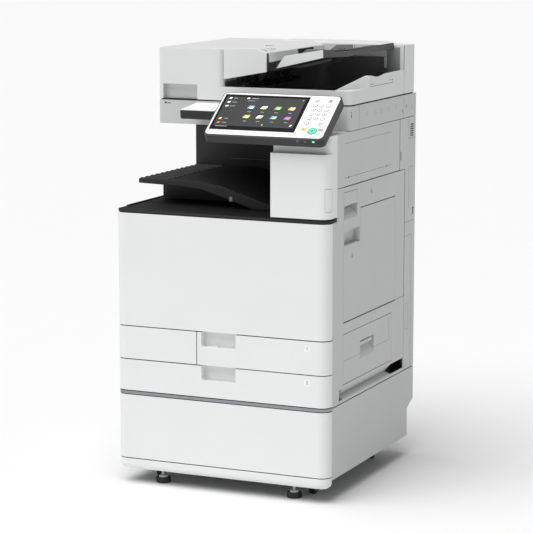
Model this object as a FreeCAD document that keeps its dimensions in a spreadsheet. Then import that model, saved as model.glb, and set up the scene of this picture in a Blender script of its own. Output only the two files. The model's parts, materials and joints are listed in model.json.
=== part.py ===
import FreeCAD, Part

# Floor-standing photocopier on a cabinet pedestal, in millimetres.
# +Z is up, the front faces -Y and +X is the operator's right hand.
# The origin is on the floor, under the middle of the whole outline.

import os
import re

import Sketcher

doc = FreeCAD.newDocument("Photocopier")
sheet = doc.addObject("Spreadsheet::Sheet", "Sizes")

# ---------------------------------------------------------------- driving sizes
SIZES = [
    # overall
    ("body_width", 620, "over both side covers"),
    ("body_depth", 640, "front of the doors to the rear cover"),
    ("panel_overhang", 40.4, "control panel in front of the doors"),
    ("seam", 2.5, "gap between neighbouring covers"),
    ("cover_wall", 3, "plastic cover thickness"),
    ("steel_wall", 2, "frame plate thickness"),
    ("corner_radius", 28, "rounded vertical corners of the front"),
    ("front_depth", 5, "doors and cassette fronts behind their rounded corners"),
    # heights above the floor
    ("kick_bottom", 39, "lower edge of the kick strip"),
    ("kick_height", 30, "kick strip"),
    ("pedestal_bottom", 60, "lower edge of the pedestal side cover"),
    ("pedestal_height", 196.5, "pedestal side cover and its seam"),
    ("cassette_pitch", 87, "height of the lower cassette front and its seam"),
    ("upper_row_height", 91, "height of the upper cassette front and its seam"),
    ("door_height", 306, "front door"),
    ("deck_rise", 9, "lower output tray surface above the front door"),
    ("shoulder_height", 47, "white column above its shoulder"),
    ("bay_height", 219, "output bay"),
    ("reader_height", 65, "reader with the seam below it"),
    ("feeder_seam", 4, "gap between reader and document feeder"),
    ("feeder_rim_height", 36, "front rim of the document feeder"),
    ("feeder_side_height", 68, "side wall of the document feeder"),
    ("feeder_block_height", 125, "the feeder's left block"),
    ("feeder_height", 141, "document feeder with its cover"),
    # casters and levelling feet
    ("caster_inset", 82, "casters inside the side covers"),
    ("caster_front_inset", 95, "front casters behind the doors"),
    ("caster_rear_inset", 125, "rear casters in front of the rear cover"),
    ("wheel_radius", 18, "caster wheel"),
    ("wheel_width", 14, "caster wheel"),
    ("caster_trail", 10, "wheel axle behind the swivel"),
    ("axle_radius", 3, "caster axle"),
    ("running_gap", 0.06, "radial clearance of a turning pin"),
    ("stem_radius", 8, "caster swivel stem"),
    ("foot_radius", 20, "levelling foot disc"),
    ("foot_height", 15, "levelling foot disc"),
    ("foot_side_inset", 115, "levelling feet inside the side covers"),
    ("foot_inset", 50, "levelling feet behind the doors"),
    # rear of the pedestal
    ("heel_depth", 47, "step under the rear of the pedestal"),
    ("heel_height", 79, "lower end of the rear chamfer above the pedestal's edge"),
    ("heel_chamfer", 21, "rear chamfer"),
    ("rear_step", 14, "lower rear cover set back"),
    ("rear_step_rise", 16, "step of the rear cover above the front door's lower edge"),
    # cassettes
    ("waste_door_width", 241, "waste toner door, left of the upper cassette"),
    ("tray_rear_gap", 137, "cassette tray in front of the rear cover"),
    ("tray_margin", 22, "tray narrower than its front, each side"),
    ("tray_wall", 3, "cassette tray wall"),
    ("tray_height", 62, "cassette tray wall height"),
    ("grip_inset", 256, "left end of the finger recess inside the left cover"),
    ("grip_width", 100, "finger recess"),
    ("grip_height", 40, "finger recess"),
    ("grip_depth", 22, "finger recess"),
    # column and output bay
    ("column_width", 163, "white column"),
    ("shoulder_setback", 20, "upper column behind the lower one"),
    ("bay_rear", 140, "back wall of the output bay before the rear cover"),
    ("upper_tray_front", 128, "upper tray behind the doors"),
    ("upper_tray_rise", 68, "upper tray at its left end, above the lower one"),
    ("upper_tray_thickness", 12, "upper tray at its left end"),
    ("upper_tray_inset", 7, "upper tray inside the left cover"),
    ("tray_fall", 64, "drop of the upper tray towards the column"),
    ("flap_rise", 24, "power switch flap above the deck"),
    ("flap_height", 58, "power switch flap"),
    ("flap_wall", 2.5, "power switch flap"),
    # right side
    ("strip_depth", 62, "front corner strip behind the doors"),
    ("door_front", 107, "front edge of the right door behind the doors"),
    ("door_rear", 85, "rear edge of the right door before the rear cover"),
    ("side_door_rise", 33, "right door above the front door's lower edge"),
    ("side_door_above_deck", 76, "right door above the deck"),
    ("side_door_depth", 24, "thickness of the right door"),
    ("bypass_rear", 155, "rear edge of the bypass tray before the rear cover"),
    ("bypass_drop", 67, "bypass tray below the right door's upper edge"),
    ("bypass_shoulder_drop", 155, "front part of the bypass tray below the same edge"),
    ("bypass_step", 224, "step in the bypass tray behind the doors"),
    ("bypass_thickness", 9, "bypass tray"),
    ("notch_height", 39, "finger notch over the bypass tray"),
    ("lever_height", 35, "right door lever"),
    ("lever_drop", 14, "right door lever below the right door's upper edge"),
    ("lever_length", 92, "right door lever"),
    ("lever_recess_height", 35, "finger recess under the lever"),
    ("lower_door_rise", 47.5, "lower right door above the main unit's underside"),
    ("lower_door_rear", 178, "lower right door before the rear cover"),
    ("side_grip_front", 228, "lower door finger recess behind the doors"),
    ("side_grip_width", 102, "lower door finger recess"),
    ("side_grip_rise", 49, "lower door finger recess above the door's lower edge"),
    ("side_grip_height", 48, "lower door finger recess"),
    # reader and feeder
    ("reader_side_inset", 58, "left face of the reader inside the left cover"),
    ("reader_inset", 148, "reader behind the doors"),
    ("glass_side_margin", 61, "reader housing beside the platen glass"),
    ("glass_front_margin", 42, "reader housing before the platen glass"),
    ("glass_rear_margin", 140, "reader housing behind the platen glass"),
    ("glass_thickness", 4, "platen glass"),
    ("carriage_width", 62, "scan carriage"),
    ("block_width", 194, "the feeder's left block"),
    ("nose_width", 126, "feeder cover beyond the left block"),
    ("cover_lip_rise", 59, "underside of the feeder cover's nose above the feeder's"),
    ("feeder_back", 96, "depth of the feeder's rear housing"),
    ("lid_gap", 1, "gap between a turning cover and its neighbour"),
    ("feeder_rear_inset", 18, "document feeder in front of the rear cover"),
    ("doc_tray_gap", 10, "document tray beside the feeder cover"),
    ("doc_tray_side_inset", 30, "document tray inside the right face"),
    ("doc_tray_height", 85, "document tray at its left end above the feeder's underside"),
    ("doc_tray_rise", 33, "climb of the document tray's steep left part"),
    ("doc_tray_steep", 138, "length of the document tray's steep left part"),
    ("doc_tray_ease", 5, "climb of the document tray's flatter right part"),
    ("doc_tray_thickness", 14, "document tray"),
    ("doc_tray_front", 44, "document tray behind the reader's front"),
    ("doc_guide_height", 21, "document side guide"),
    ("doc_guide_ramp", 30, "sloping left part of a document side guide"),
    ("doc_guide_end", 11, "document side guide at its right end"),
    ("doc_guide_length", 80, "document side guide"),
    ("doc_guide_start", 30, "document side guide from the tray's left end"),
    ("roller_radius", 10, "delivery rollers of the feeder"),
    # control panel
    ("panel_width", 338, "control panel"),
    ("panel_length", 173, "control panel, along its slope"),
    ("panel_thickness", 24, "control panel"),
    ("panel_tilt", 36, "slope of the control panel, degrees"),
    ("panel_ear_bite", 2.2, "panel lugs into the panel's underside"),
    ("panel_drop", 5.3, "lower front edge of the control panel below the main unit's top"),
    ("panel_radius", 14, "corners of the control panel"),
    ("screen_left", 7.5, "touch screen glass"),
    ("screen_width", 242.5, "touch screen glass"),
    ("screen_low", 25, "touch screen glass"),
    ("screen_length", 139, "touch screen glass"),
    ("screen_thickness", 2, "touch screen glass"),
    ("key_travel", 1.2, "how far a key goes down"),
    ("key_stand", 1.6, "how far a key stands proud"),
    ("key_gap", 0.35, "clearance round a key"),
    ("key_radius", 5.2, "number and function keys"),
    ("start_radius", 12, "start key"),
    ("key_column", 273, "first column of keys"),
    ("key_row", 82, "lowest row of number keys"),
    ("key_pitch_across", 18.5, "number keys"),
    ("key_pitch_up", 16.8, "number keys"),
    ("hinge_radius", 6, "control panel hinge barrel"),
    # inside
    ("bottle_radius", 32, "toner bottle"),
    ("imaging_gap", 96, "colour stations in front of the power supply"),
    ("unit_pitch", 96, "spacing of the four colour stations"),
    ("unit_inset", 80, "first colour station inside the left cover"),
    ("screw_radius", 5, "cover screw head"),
]

for row, (alias, size, meaning) in enumerate(SIZES, start=1):
    sheet.set(f"A{row}", alias)
    sheet.set(f"B{row}", str(size))
    sheet.setAlias(f"B{row}", alias)
    sheet.set(f"C{row}", meaning)
doc.recompute()

ALIASES = {alias for alias, _, _ in SIZES}

# Heights that follow from the sizes, each a formula of what stands below it.
HEIGHTS = {
    "kick_top": "kick_bottom + kick_height",
    "base_bottom": "pedestal_bottom + pedestal_height",
    "pedestal_front_top": "base_bottom - 9.5",
    "pedestal_side_top": "base_bottom - seam",
    "lower_cassette_bottom": "base_bottom + 3.5",
    "upper_cassette_bottom": "lower_cassette_bottom + cassette_pitch",
    "door_bottom": "upper_cassette_bottom + upper_row_height",
    "door_top": "door_bottom + door_height",
    "deck_top": "door_top + deck_rise",
    "body_top": "deck_top + bay_height",
    "column_top": "body_top - shoulder_height",
    "reader_top": "body_top + reader_height",
    "feeder_bottom": "reader_top + feeder_seam",
    "feeder_rim": "feeder_bottom + feeder_rim_height",
    "feeder_side_rim": "feeder_bottom + feeder_side_height",
    "feeder_block_top": "feeder_bottom + feeder_block_height",
    "overall_height": "feeder_bottom + feeder_height",
    "cover_lip": "feeder_bottom + cover_lip_rise",
    "doc_tray_low": "feeder_bottom + doc_tray_height",
    "heel_bottom": "pedestal_bottom + heel_height",
    "heel_top": "heel_bottom + heel_chamfer",
    "rear_step_height": "door_bottom + rear_step_rise",
    "upper_tray_top": "deck_top + upper_tray_rise",
    "flap_bottom": "deck_top + flap_rise",
    "side_door_bottom": "door_bottom + side_door_rise",
    "side_door_top": "deck_top + side_door_above_deck",
    "bypass_top": "side_door_top - bypass_drop",
    "bypass_shoulder": "side_door_top - bypass_shoulder_drop",
    "notch_top": "bypass_shoulder + notch_height",
    "lever_top": "side_door_top - lever_drop",
    "lever_bottom": "lever_top - lever_height",
    "lever_recess_bottom": "lever_bottom - lever_recess_height",
    "lower_door_bottom": "base_bottom + lower_door_rise",
    "lower_door_top": "door_bottom",
    "side_grip_bottom": "lower_door_bottom + side_grip_rise",
    "panel_base": "body_top - panel_drop",
}

# Places that many pieces share, as formulas of the sizes.
LEFT = "(-body_width / 2)"
RIGHT = "(body_width / 2)"
FRONT = "((panel_overhang - body_depth) / 2)"
REAR = "((panel_overhang + body_depth) / 2)"
SKIN = f"({FRONT} + corner_radius + front_depth)"
BAY_BACK = f"({REAR} - bay_rear)"
READER_FRONT = f"({FRONT} + reader_inset)"
HEEL = f"({REAR} - heel_depth)"
COLUMN = f"({RIGHT} - column_width)"
SPLIT = f"({LEFT} + waste_door_width)"
READER_LEFT = f"({LEFT} + reader_side_inset)"
BLOCK_RIGHT = f"({READER_LEFT} + block_width)"
NOSE_RIGHT = f"({BLOCK_RIGHT} + nose_width)"
PANEL_LEFT = f"({RIGHT} - panel_width)"
UNIT_LEFT = f"({LEFT} + unit_inset)"
GRIP_LEFT = f"({LEFT} + grip_inset)"

nodes = {}


# ---------------------------------------------------------------- helpers
def formula(text):
    """Turn the plain names in a formula into references to the sheet."""
    def refer(match):
        word = match.group(0)
        if word in HEIGHTS:
            return f"({formula(HEIGHTS[word])})"
        return f"Sizes.{word}" if word in ALIASES else word
    return re.sub(r"[a-z_]+", refer, str(text))


def number(text):
    """The present value of a formula."""
    return float(sheet.evalExpression(formula(text)))


def bind(piece, prop, text):
    """Tie one property of a piece to a formula of the sheet."""
    piece.setExpression(prop, formula(text))


def move(piece, x, y, z):
    """Tie a piece's position to three formulas."""
    for letter, text in zip("xyz", (x, y, z)):
        bind(piece, f"Placement.Base.{letter}", text)


def block(name, x, y, z):
    """A rectangular block; x, y and z are (low, high) pairs of formulas."""
    piece = doc.addObject("Part::Box", name)
    for prop, (low, high) in zip(("Length", "Width", "Height"), (x, y, z)):
        bind(piece, prop, f"({high}) - ({low})")
    move(piece, x[0], y[0], z[0])
    return piece


TURNS = {
    "X": FreeCAD.Rotation(FreeCAD.Vector(0, 1, 0), 90),
    "Y": FreeCAD.Rotation(FreeCAD.Vector(1, 0, 0), -90),
    "Z": FreeCAD.Rotation(),
}


def rod(name, along, start, radius, length):
    """A cylinder along X, Y or Z from a start point."""
    piece = doc.addObject("Part::Cylinder", name)
    piece.Placement = FreeCAD.Placement(FreeCAD.Vector(), TURNS[along])
    bind(piece, "Radius", radius)
    bind(piece, "Height", length)
    move(piece, *start)
    return piece


def join(name, pieces):
    """Fuse pieces into one."""
    fused = doc.addObject("Part::MultiFuse", name)
    fused.Shapes = pieces
    return fused


def cut(name, base, tools):
    """Take one or more tools away from a base."""
    result = doc.addObject("Part::Cut", name)
    result.Base = base
    result.Tool = tools[0] if len(tools) == 1 else join(f"{name}_tools", tools)
    return result


def keep(name, piece):
    """Make a piece a sub-part of the photocopier under its own name."""
    piece.Label = name
    nodes[name] = piece
    return piece


def body_plane(body, role):
    """One of a body's own origin planes."""
    for feature in body.Origin.OriginFeatures:
        if feature.Role == role:
            return feature
    raise ValueError(role)


def new_sketch(body, name):
    sketch = body.newObject("Sketcher::SketchObject", name)
    sketch.AttachmentSupport = [(body_plane(body, "XY_Plane"), "")]
    sketch.MapMode = "FlatFace"
    return sketch


def dimension(sketch, kind, parts, text, name):
    """Add a named driving dimension and tie it to a formula."""
    size = number(text)
    index = sketch.addConstraint(Sketcher.Constraint(kind, *parts, size))
    sketch.renameConstraint(index, name)
    bind(sketch, f"Constraints.{name}", text)


def pad(body, sketch, length, name):
    feature = body.newObject("PartDesign::Pad", name)
    feature.Profile = sketch
    bind(feature, "Length", length)
    sketch.Visibility = False
    return feature


def rounded_front(name, x, y, z, radius="corner_radius"):
    """A slab whose two vertical front corners are rounded."""
    body = doc.addObject("PartDesign::Body", name)
    sketch = new_sketch(body, f"{name}_plan")
    width, depth, turn = (number(f"({x[1]}) - ({x[0]})"),
                          number(f"({y[1]}) - ({y[0]})"), number(radius))
    vector = FreeCAD.Vector
    up = vector(0, 0, 1)
    quarter = 1.5707963267948966
    sketch.addGeometry([
        Part.LineSegment(vector(turn, 0, 0), vector(width - turn, 0, 0)),
        Part.ArcOfCircle(Part.Circle(vector(width - turn, turn, 0), up, turn), -quarter, 0),
        Part.LineSegment(vector(width, turn, 0), vector(width, depth, 0)),
        Part.LineSegment(vector(width, depth, 0), vector(0, depth, 0)),
        Part.LineSegment(vector(0, depth, 0), vector(0, turn, 0)),
        Part.ArcOfCircle(Part.Circle(vector(turn, turn, 0), up, turn),
                         2 * quarter, 3 * quarter),
    ])
    front, right_arc, right, back, left, left_arc = range(6)
    sketch.addConstraint([
        Sketcher.Constraint("Tangent", front, 2, right_arc, 1),
        Sketcher.Constraint("Tangent", right_arc, 2, right, 1),
        Sketcher.Constraint("Coincident", right, 2, back, 1),
        Sketcher.Constraint("Coincident", back, 2, left, 1),
        Sketcher.Constraint("Tangent", left, 2, left_arc, 1),
        Sketcher.Constraint("Tangent", left_arc, 2, front, 1),
        Sketcher.Constraint("Horizontal", front),
        Sketcher.Constraint("Vertical", right),
        Sketcher.Constraint("Horizontal", back),
        Sketcher.Constraint("Vertical", left),
        Sketcher.Constraint("Equal", right_arc, left_arc),
        Sketcher.Constraint("PointOnObject", front, 1, -1),
        Sketcher.Constraint("PointOnObject", left, 1, -2),
    ])
    dimension(sketch, "Radius", (right_arc,), radius, "corner")
    dimension(sketch, "DistanceX", (-1, 1, right, 2), f"({x[1]}) - ({x[0]})", "width")
    dimension(sketch, "DistanceY", (-1, 1, right, 2), f"({y[1]}) - ({y[0]})", "depth")
    pad(body, sketch, f"({z[1]}) - ({z[0]})", f"{name}_pad")
    move(body, x[0], y[0], z[0])
    return body


SLANTS = {
    "XZ": FreeCAD.Rotation(FreeCAD.Vector(1, 0, 0), 90),
    "YZ": FreeCAD.Rotation(FreeCAD.Vector(1, 1, 1), 120),
}


def prism(name, plane, outline, span):
    """A straight-sided outline in the XZ or YZ plane, padded across the span.

    The outline is a list of pairs of formulas. Its first pair is its lowest
    corner in both directions, which becomes the sketch's own origin.
    """
    body = doc.addObject("PartDesign::Body", name)
    body.Placement = FreeCAD.Placement(FreeCAD.Vector(), SLANTS[plane])
    sketch = new_sketch(body, f"{name}_outline")
    base_u, base_v = outline[0]
    local = [(f"({u}) - ({base_u})", f"({v}) - ({base_v})") for u, v in outline]
    spots = [FreeCAD.Vector(number(u), number(v), 0) for u, v in local]
    count = len(spots)
    for index in range(count):
        sketch.addGeometry(Part.LineSegment(spots[index], spots[(index + 1) % count]))
    for index in range(count):
        following = (index + 1) % count
        sketch.addConstraint(Sketcher.Constraint("Coincident", index, 2, following, 1))
    for index, (u, v) in enumerate(local):
        for kind, text, letter, axis in (("DistanceX", u, "u", -2), ("DistanceY", v, "v", -1)):
            if abs(number(text)) < 1e-9:
                sketch.addConstraint(Sketcher.Constraint("PointOnObject", index, 1, axis))
            else:
                dimension(sketch, kind, (-1, 1, index, 1), text, f"{letter}{index}")
    pad(body, sketch, f"({span[1]}) - ({span[0]})", f"{name}_pad")
    if plane == "XZ":
        move(body, base_u, span[1], base_v)
    else:
        move(body, span[0], base_u, base_v)
    return body


def on_panel(piece, across, up, out):
    """Place a piece in the control panel's own slope: across, up it and out of it."""
    piece.Placement.Rotation = FreeCAD.Rotation(FreeCAD.Vector(1, 0, 0), number("panel_tilt"))
    bind(piece, "Placement.Rotation.Angle", "panel_tilt")
    lean = "(panel_tilt * 1 deg)"
    move(piece, f"{PANEL_LEFT} + {across}",
         f"{FRONT} - panel_overhang + ({up}) * cos{lean} - ({out}) * sin{lean}",
         f"panel_base + ({up}) * sin{lean} + ({out}) * cos{lean}")
    return piece


def panel_block(name, across, up, out):
    """A block in the control panel's slope, from (low, high) pairs."""
    piece = doc.addObject("Part::Box", name)
    for prop, (low, high) in zip(("Length", "Width", "Height"), (across, up, out)):
        bind(piece, prop, f"({high}) - ({low})")
    return on_panel(piece, across[0], up[0], out[0])


def panel_disc(name, across, up, out, radius):
    """A round key or its hole, standing square to the control panel."""
    piece = doc.addObject("Part::Cylinder", name)
    bind(piece, "Radius", radius)
    bind(piece, "Height", f"({out[1]}) - ({out[0]})")
    return on_panel(piece, across, up, out[0])


# ---------------------------------------------------------------- pedestal
def pedestal():
    """The cabinet that the copier stands on: steel frame, covers and feet."""
    inner_left = f"{LEFT} + cover_wall + 2"
    inner_right = f"{RIGHT} - cover_wall - 2"
    frame_back = f"{HEEL} - cover_wall - 3"
    plate_low = "pedestal_bottom - 2"
    plate_high = f"{plate_low} + 2 * steel_wall"
    frame_top = "base_bottom"
    floor_plate = block("pedestal_floor", (inner_left, inner_right), (SKIN, frame_back),
                        (plate_low, plate_high))
    stems = [rod(f"stem_hole_{corner}", "Z", (x, y, f"{plate_low} - 1"),
                 "stem_radius + running_gap", "2 * steel_wall + 2")
             for corner, x, y in caster_places()]
    walls = [
        block("pedestal_left_wall", (inner_left, f"{inner_left} + steel_wall"),
              (SKIN, frame_back), (plate_high, frame_top)),
        block("pedestal_right_wall", (f"{inner_right} - steel_wall", inner_right),
              (SKIN, frame_back), (plate_high, frame_top)),
        block("pedestal_rear_wall", (inner_left, inner_right),
              (f"{frame_back} - steel_wall", frame_back), (plate_high, frame_top)),
        block("pedestal_roof", (inner_left, inner_right), (SKIN, frame_back),
              (f"{frame_top} - steel_wall", frame_top)),
    ]
    keep("pedestal_frame", join("pedestal_frame",
                                [cut("pedestal_plate", floor_plate, stems)] + walls))

    front, side_top = f"{SKIN} + 1", "pedestal_side_top"
    outer = prism("pedestal_outer", "YZ", [
        (front, "pedestal_bottom"), (HEEL, "pedestal_bottom"), (HEEL, "heel_bottom"),
        (REAR, "heel_top"), (REAR, side_top), (front, side_top)], (LEFT, RIGHT))
    wall = "cover_wall"
    hollow = prism("pedestal_hollow", "YZ", [
        (f"{front} - 5", "pedestal_bottom - 5"), (f"{HEEL} - {wall}", "pedestal_bottom - 5"),
        (f"{HEEL} - {wall}", f"heel_bottom + {wall} / 2"),
        (f"{REAR} - {wall}", f"heel_top + {wall} / 2"),
        (f"{REAR} - {wall}", f"{side_top} + 5"), (f"{front} - 5", f"{side_top} + 5")],
        (f"{LEFT} + {wall}", f"{RIGHT} - {wall}"))
    keep("pedestal_cover", cut("pedestal_cover", outer, [hollow]))

    keep("pedestal_front_panel", hollow_front(
        "pedestal_front_panel", (LEFT, RIGHT), ("kick_top + seam", "pedestal_front_top"), []))
    keep("pedestal_kick_strip", rounded_front(
        "pedestal_kick_strip", (LEFT, RIGHT), (FRONT, SKIN), ("kick_bottom", "kick_top")))

    feet = []
    for side in (-1, 1):
        name = "left" if side < 0 else "right"
        x, y = f"{side} * (body_width / 2 - foot_side_inset)", f"{FRONT} + foot_inset"
        disc = rod(f"foot_disc_{name}", "Z", (x, y, "0"), "foot_radius", "foot_height")
        collar = rod(f"foot_collar_{name}", "Z", (x, y, "foot_height"), "foot_radius * 0.6", "5")
        stud = rod(f"foot_stud_{name}", "Z", (x, y, "foot_height"), "stem_radius * 0.6",
                   f"{plate_low} - foot_height")
        feet.append(join(f"foot_{name}", [disc, collar, stud]))
    keep("leveling_feet", join("leveling_feet", feet))


def caster_places():
    """Name and centre of each caster's swivel."""
    front = f"{FRONT} + caster_front_inset"
    rear = f"{REAR} - caster_rear_inset"
    left, right = f"{LEFT} + caster_inset", f"{RIGHT} - caster_inset"
    return [("front_left", left, front), ("front_right", right, front),
            ("rear_left", left, rear), ("rear_right", right, rear)]


def hollow_front(name, x, z, cutters):
    """A door or cassette front: rounded outside, with a recess behind its face."""
    skin = rounded_front(f"{name}_skin", x, (FRONT, SKIN), z)
    recess = block(f"{name}_recess",
                   (f"{x[0]} + corner_radius * 0.45", f"{x[1]} - corner_radius * 0.45"),
                   (f"{FRONT} + 2 * cover_wall", f"{SKIN} + 1"),
                   (f"{z[0]} + cover_wall", f"{z[1]} - cover_wall"))
    return cut(f"{name}_shell", skin, [recess] + cutters)


def caster(corner, x, y):
    """A swivel fork with its axle, and the wheel that turns on it."""
    axle_y = f"({y}) + caster_trail"
    top = "pedestal_bottom - 2"
    cheek = "wheel_width / 2 + 1"
    bridge = block(f"bridge_{corner}", (f"({x}) - ({cheek}) - 3", f"({x}) + ({cheek}) + 3"),
                   (f"({y}) - 14", f"{axle_y} + 9"), ("2 * wheel_radius + 2", "2 * wheel_radius + 6"))
    cheeks = [block(f"cheek_{corner}_{side}",
                    (f"({x}) + ({low})", f"({x}) + ({high})"),
                    (f"{axle_y} - 9", f"{axle_y} + 9"), ("wheel_radius - 8", "2 * wheel_radius + 2"))
              for side, low, high in (("a", f"-({cheek}) - 3", f"-({cheek})"),
                                      ("b", f"{cheek}", f"{cheek} + 3"))]
    pin = rod(f"axle_{corner}", "X", (f"({x}) - ({cheek}) - 4", axle_y, "wheel_radius"),
              "axle_radius", f"2 * ({cheek}) + 8")
    collar = rod(f"collar_{corner}", "Z", (x, y, "2 * wheel_radius + 6"), "1.6 * stem_radius",
                 f"{top} - 0.5 - 2 * wheel_radius - 6")
    stem = rod(f"stem_{corner}", "Z", (x, y, f"{top} - 2"), "stem_radius", "2 * steel_wall + 3")
    keep(f"caster_fork_{corner}", join(f"caster_fork_{corner}",
                                       [bridge, collar, stem, pin] + cheeks))
    tyre = rod(f"tyre_{corner}", "X", (f"({x}) - wheel_width / 2", axle_y, "wheel_radius"),
               "wheel_radius", "wheel_width")
    bore = rod(f"wheel_bore_{corner}", "X", (f"({x}) - wheel_width", axle_y, "wheel_radius"),
               "axle_radius + running_gap", "2 * wheel_width")
    keep(f"caster_wheel_{corner}", cut(f"caster_wheel_{corner}", tyre, [bore]))


# ---------------------------------------------------------------- main unit
def main_frame():
    """The steel frame: floor, sides, shelf over the cassettes, rear housing and column."""
    left, right = f"{LEFT} + cover_wall + 2", f"{RIGHT} - side_door_depth - cover_wall - 6"
    back, front = f"{REAR} - rear_step - cover_wall - 4", f"{SKIN} + 2"
    sheet_metal = "steel_wall"
    deck_under = "deck_top - 8"
    rail = rounded_front("base_rail", (LEFT, RIGHT), (FRONT, SKIN),
                         ("pedestal_front_top + seam", "lower_cassette_bottom - seam"))
    plates = [
        block("frame_floor", (left, right), (SKIN, back),
              ("base_bottom", f"base_bottom + {sheet_metal}")),
        block("frame_left", (left, f"{left} + {sheet_metal}"), (front, back),
              ("base_bottom", deck_under)),
        block("frame_right", (f"{right} - {sheet_metal}", right), (front, back),
              ("base_bottom", deck_under)),
        block("frame_right_upper", (f"{right} - {sheet_metal}", right),
              (f"{FRONT} + strip_depth", back), (f"{deck_under} - 1", "body_top - 4")),
        block("frame_rear", (left, right), (f"{back} - {sheet_metal}", back),
              ("base_bottom", "body_top - 4")),
        block("frame_shelf", (left, right), (front, back),
              ("door_bottom - seam", f"door_bottom - seam + {sheet_metal}")),
        block("frame_deck", (left, right), (front, back), (f"{deck_under} - {sheet_metal}", deck_under)),
        block("frame_column", (f"{COLUMN} + cover_wall + 4", f"{COLUMN} + cover_wall + 4 + {sheet_metal}"),
              (f"{FRONT} + strip_depth", back), (deck_under, "body_top - 4")),
        block("frame_bay_back", (left, f"{COLUMN} + cover_wall + 4"),
              (f"{BAY_BACK} + cover_wall + 2", f"{BAY_BACK} + cover_wall + 2 + {sheet_metal}"),
              (deck_under, "body_top - 4")),
        block("frame_roof", (left, right), (f"{BAY_BACK} + cover_wall + 2", back),
              (f"body_top - 4 - {sheet_metal}", "body_top - 4")),
        block("frame_column_roof", (f"{COLUMN} + cover_wall + 4", right),
              (f"{FRONT} + strip_depth", back), (f"body_top - 4 - {sheet_metal}", "body_top - 4")),
    ]
    lean_y, lean_z = panel_hinge()
    arm = block("panel_arm", (f"{PANEL_LEFT} + 222", f"{PANEL_LEFT} + 298"),
                (f"{lean_y} - hinge_radius", f"{lean_y} + hinge_radius"),
                ("body_top - 5", lean_z))
    barrel = rod("panel_barrel", "X", (f"{PANEL_LEFT} + 222", lean_y, lean_z), "hinge_radius", "76")
    pin = rod("panel_pin", "X", (f"{PANEL_LEFT} + 210", lean_y, lean_z), "hinge_radius / 2", "100")
    inlet_x, inlet_z = inlet_window(2)
    window = block("frame_inlet_window", inlet_x, (f"{back} - 10", f"{back} + 10"), inlet_z)
    keep("main_frame", cut("main_frame", join("frame_solid", [rail] + plates + [arm, barrel, pin]),
                           [window]))


def panel_hinge():
    """Where the control panel's hinge axis crosses the side view."""
    return f"({READER_FRONT} - 68)", "(panel_base + 38)"


def inlet_window(margin):
    """The power inlet's outline on the rear, widened by a margin."""
    return ((f"{LEFT} + 60 - {margin}", f"{LEFT} + 112 + {margin}"),
            (f"door_bottom - 44 - {margin}", f"door_bottom - 14 + {margin}"))


def screw_places():
    """Centres of the rear cover's screws, seen from behind."""
    return [(x, z) for x in (f"{LEFT} + 24", f"{RIGHT} - 24")
            for z in ("body_top - 20", "rear_step_height + 60")]


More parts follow.
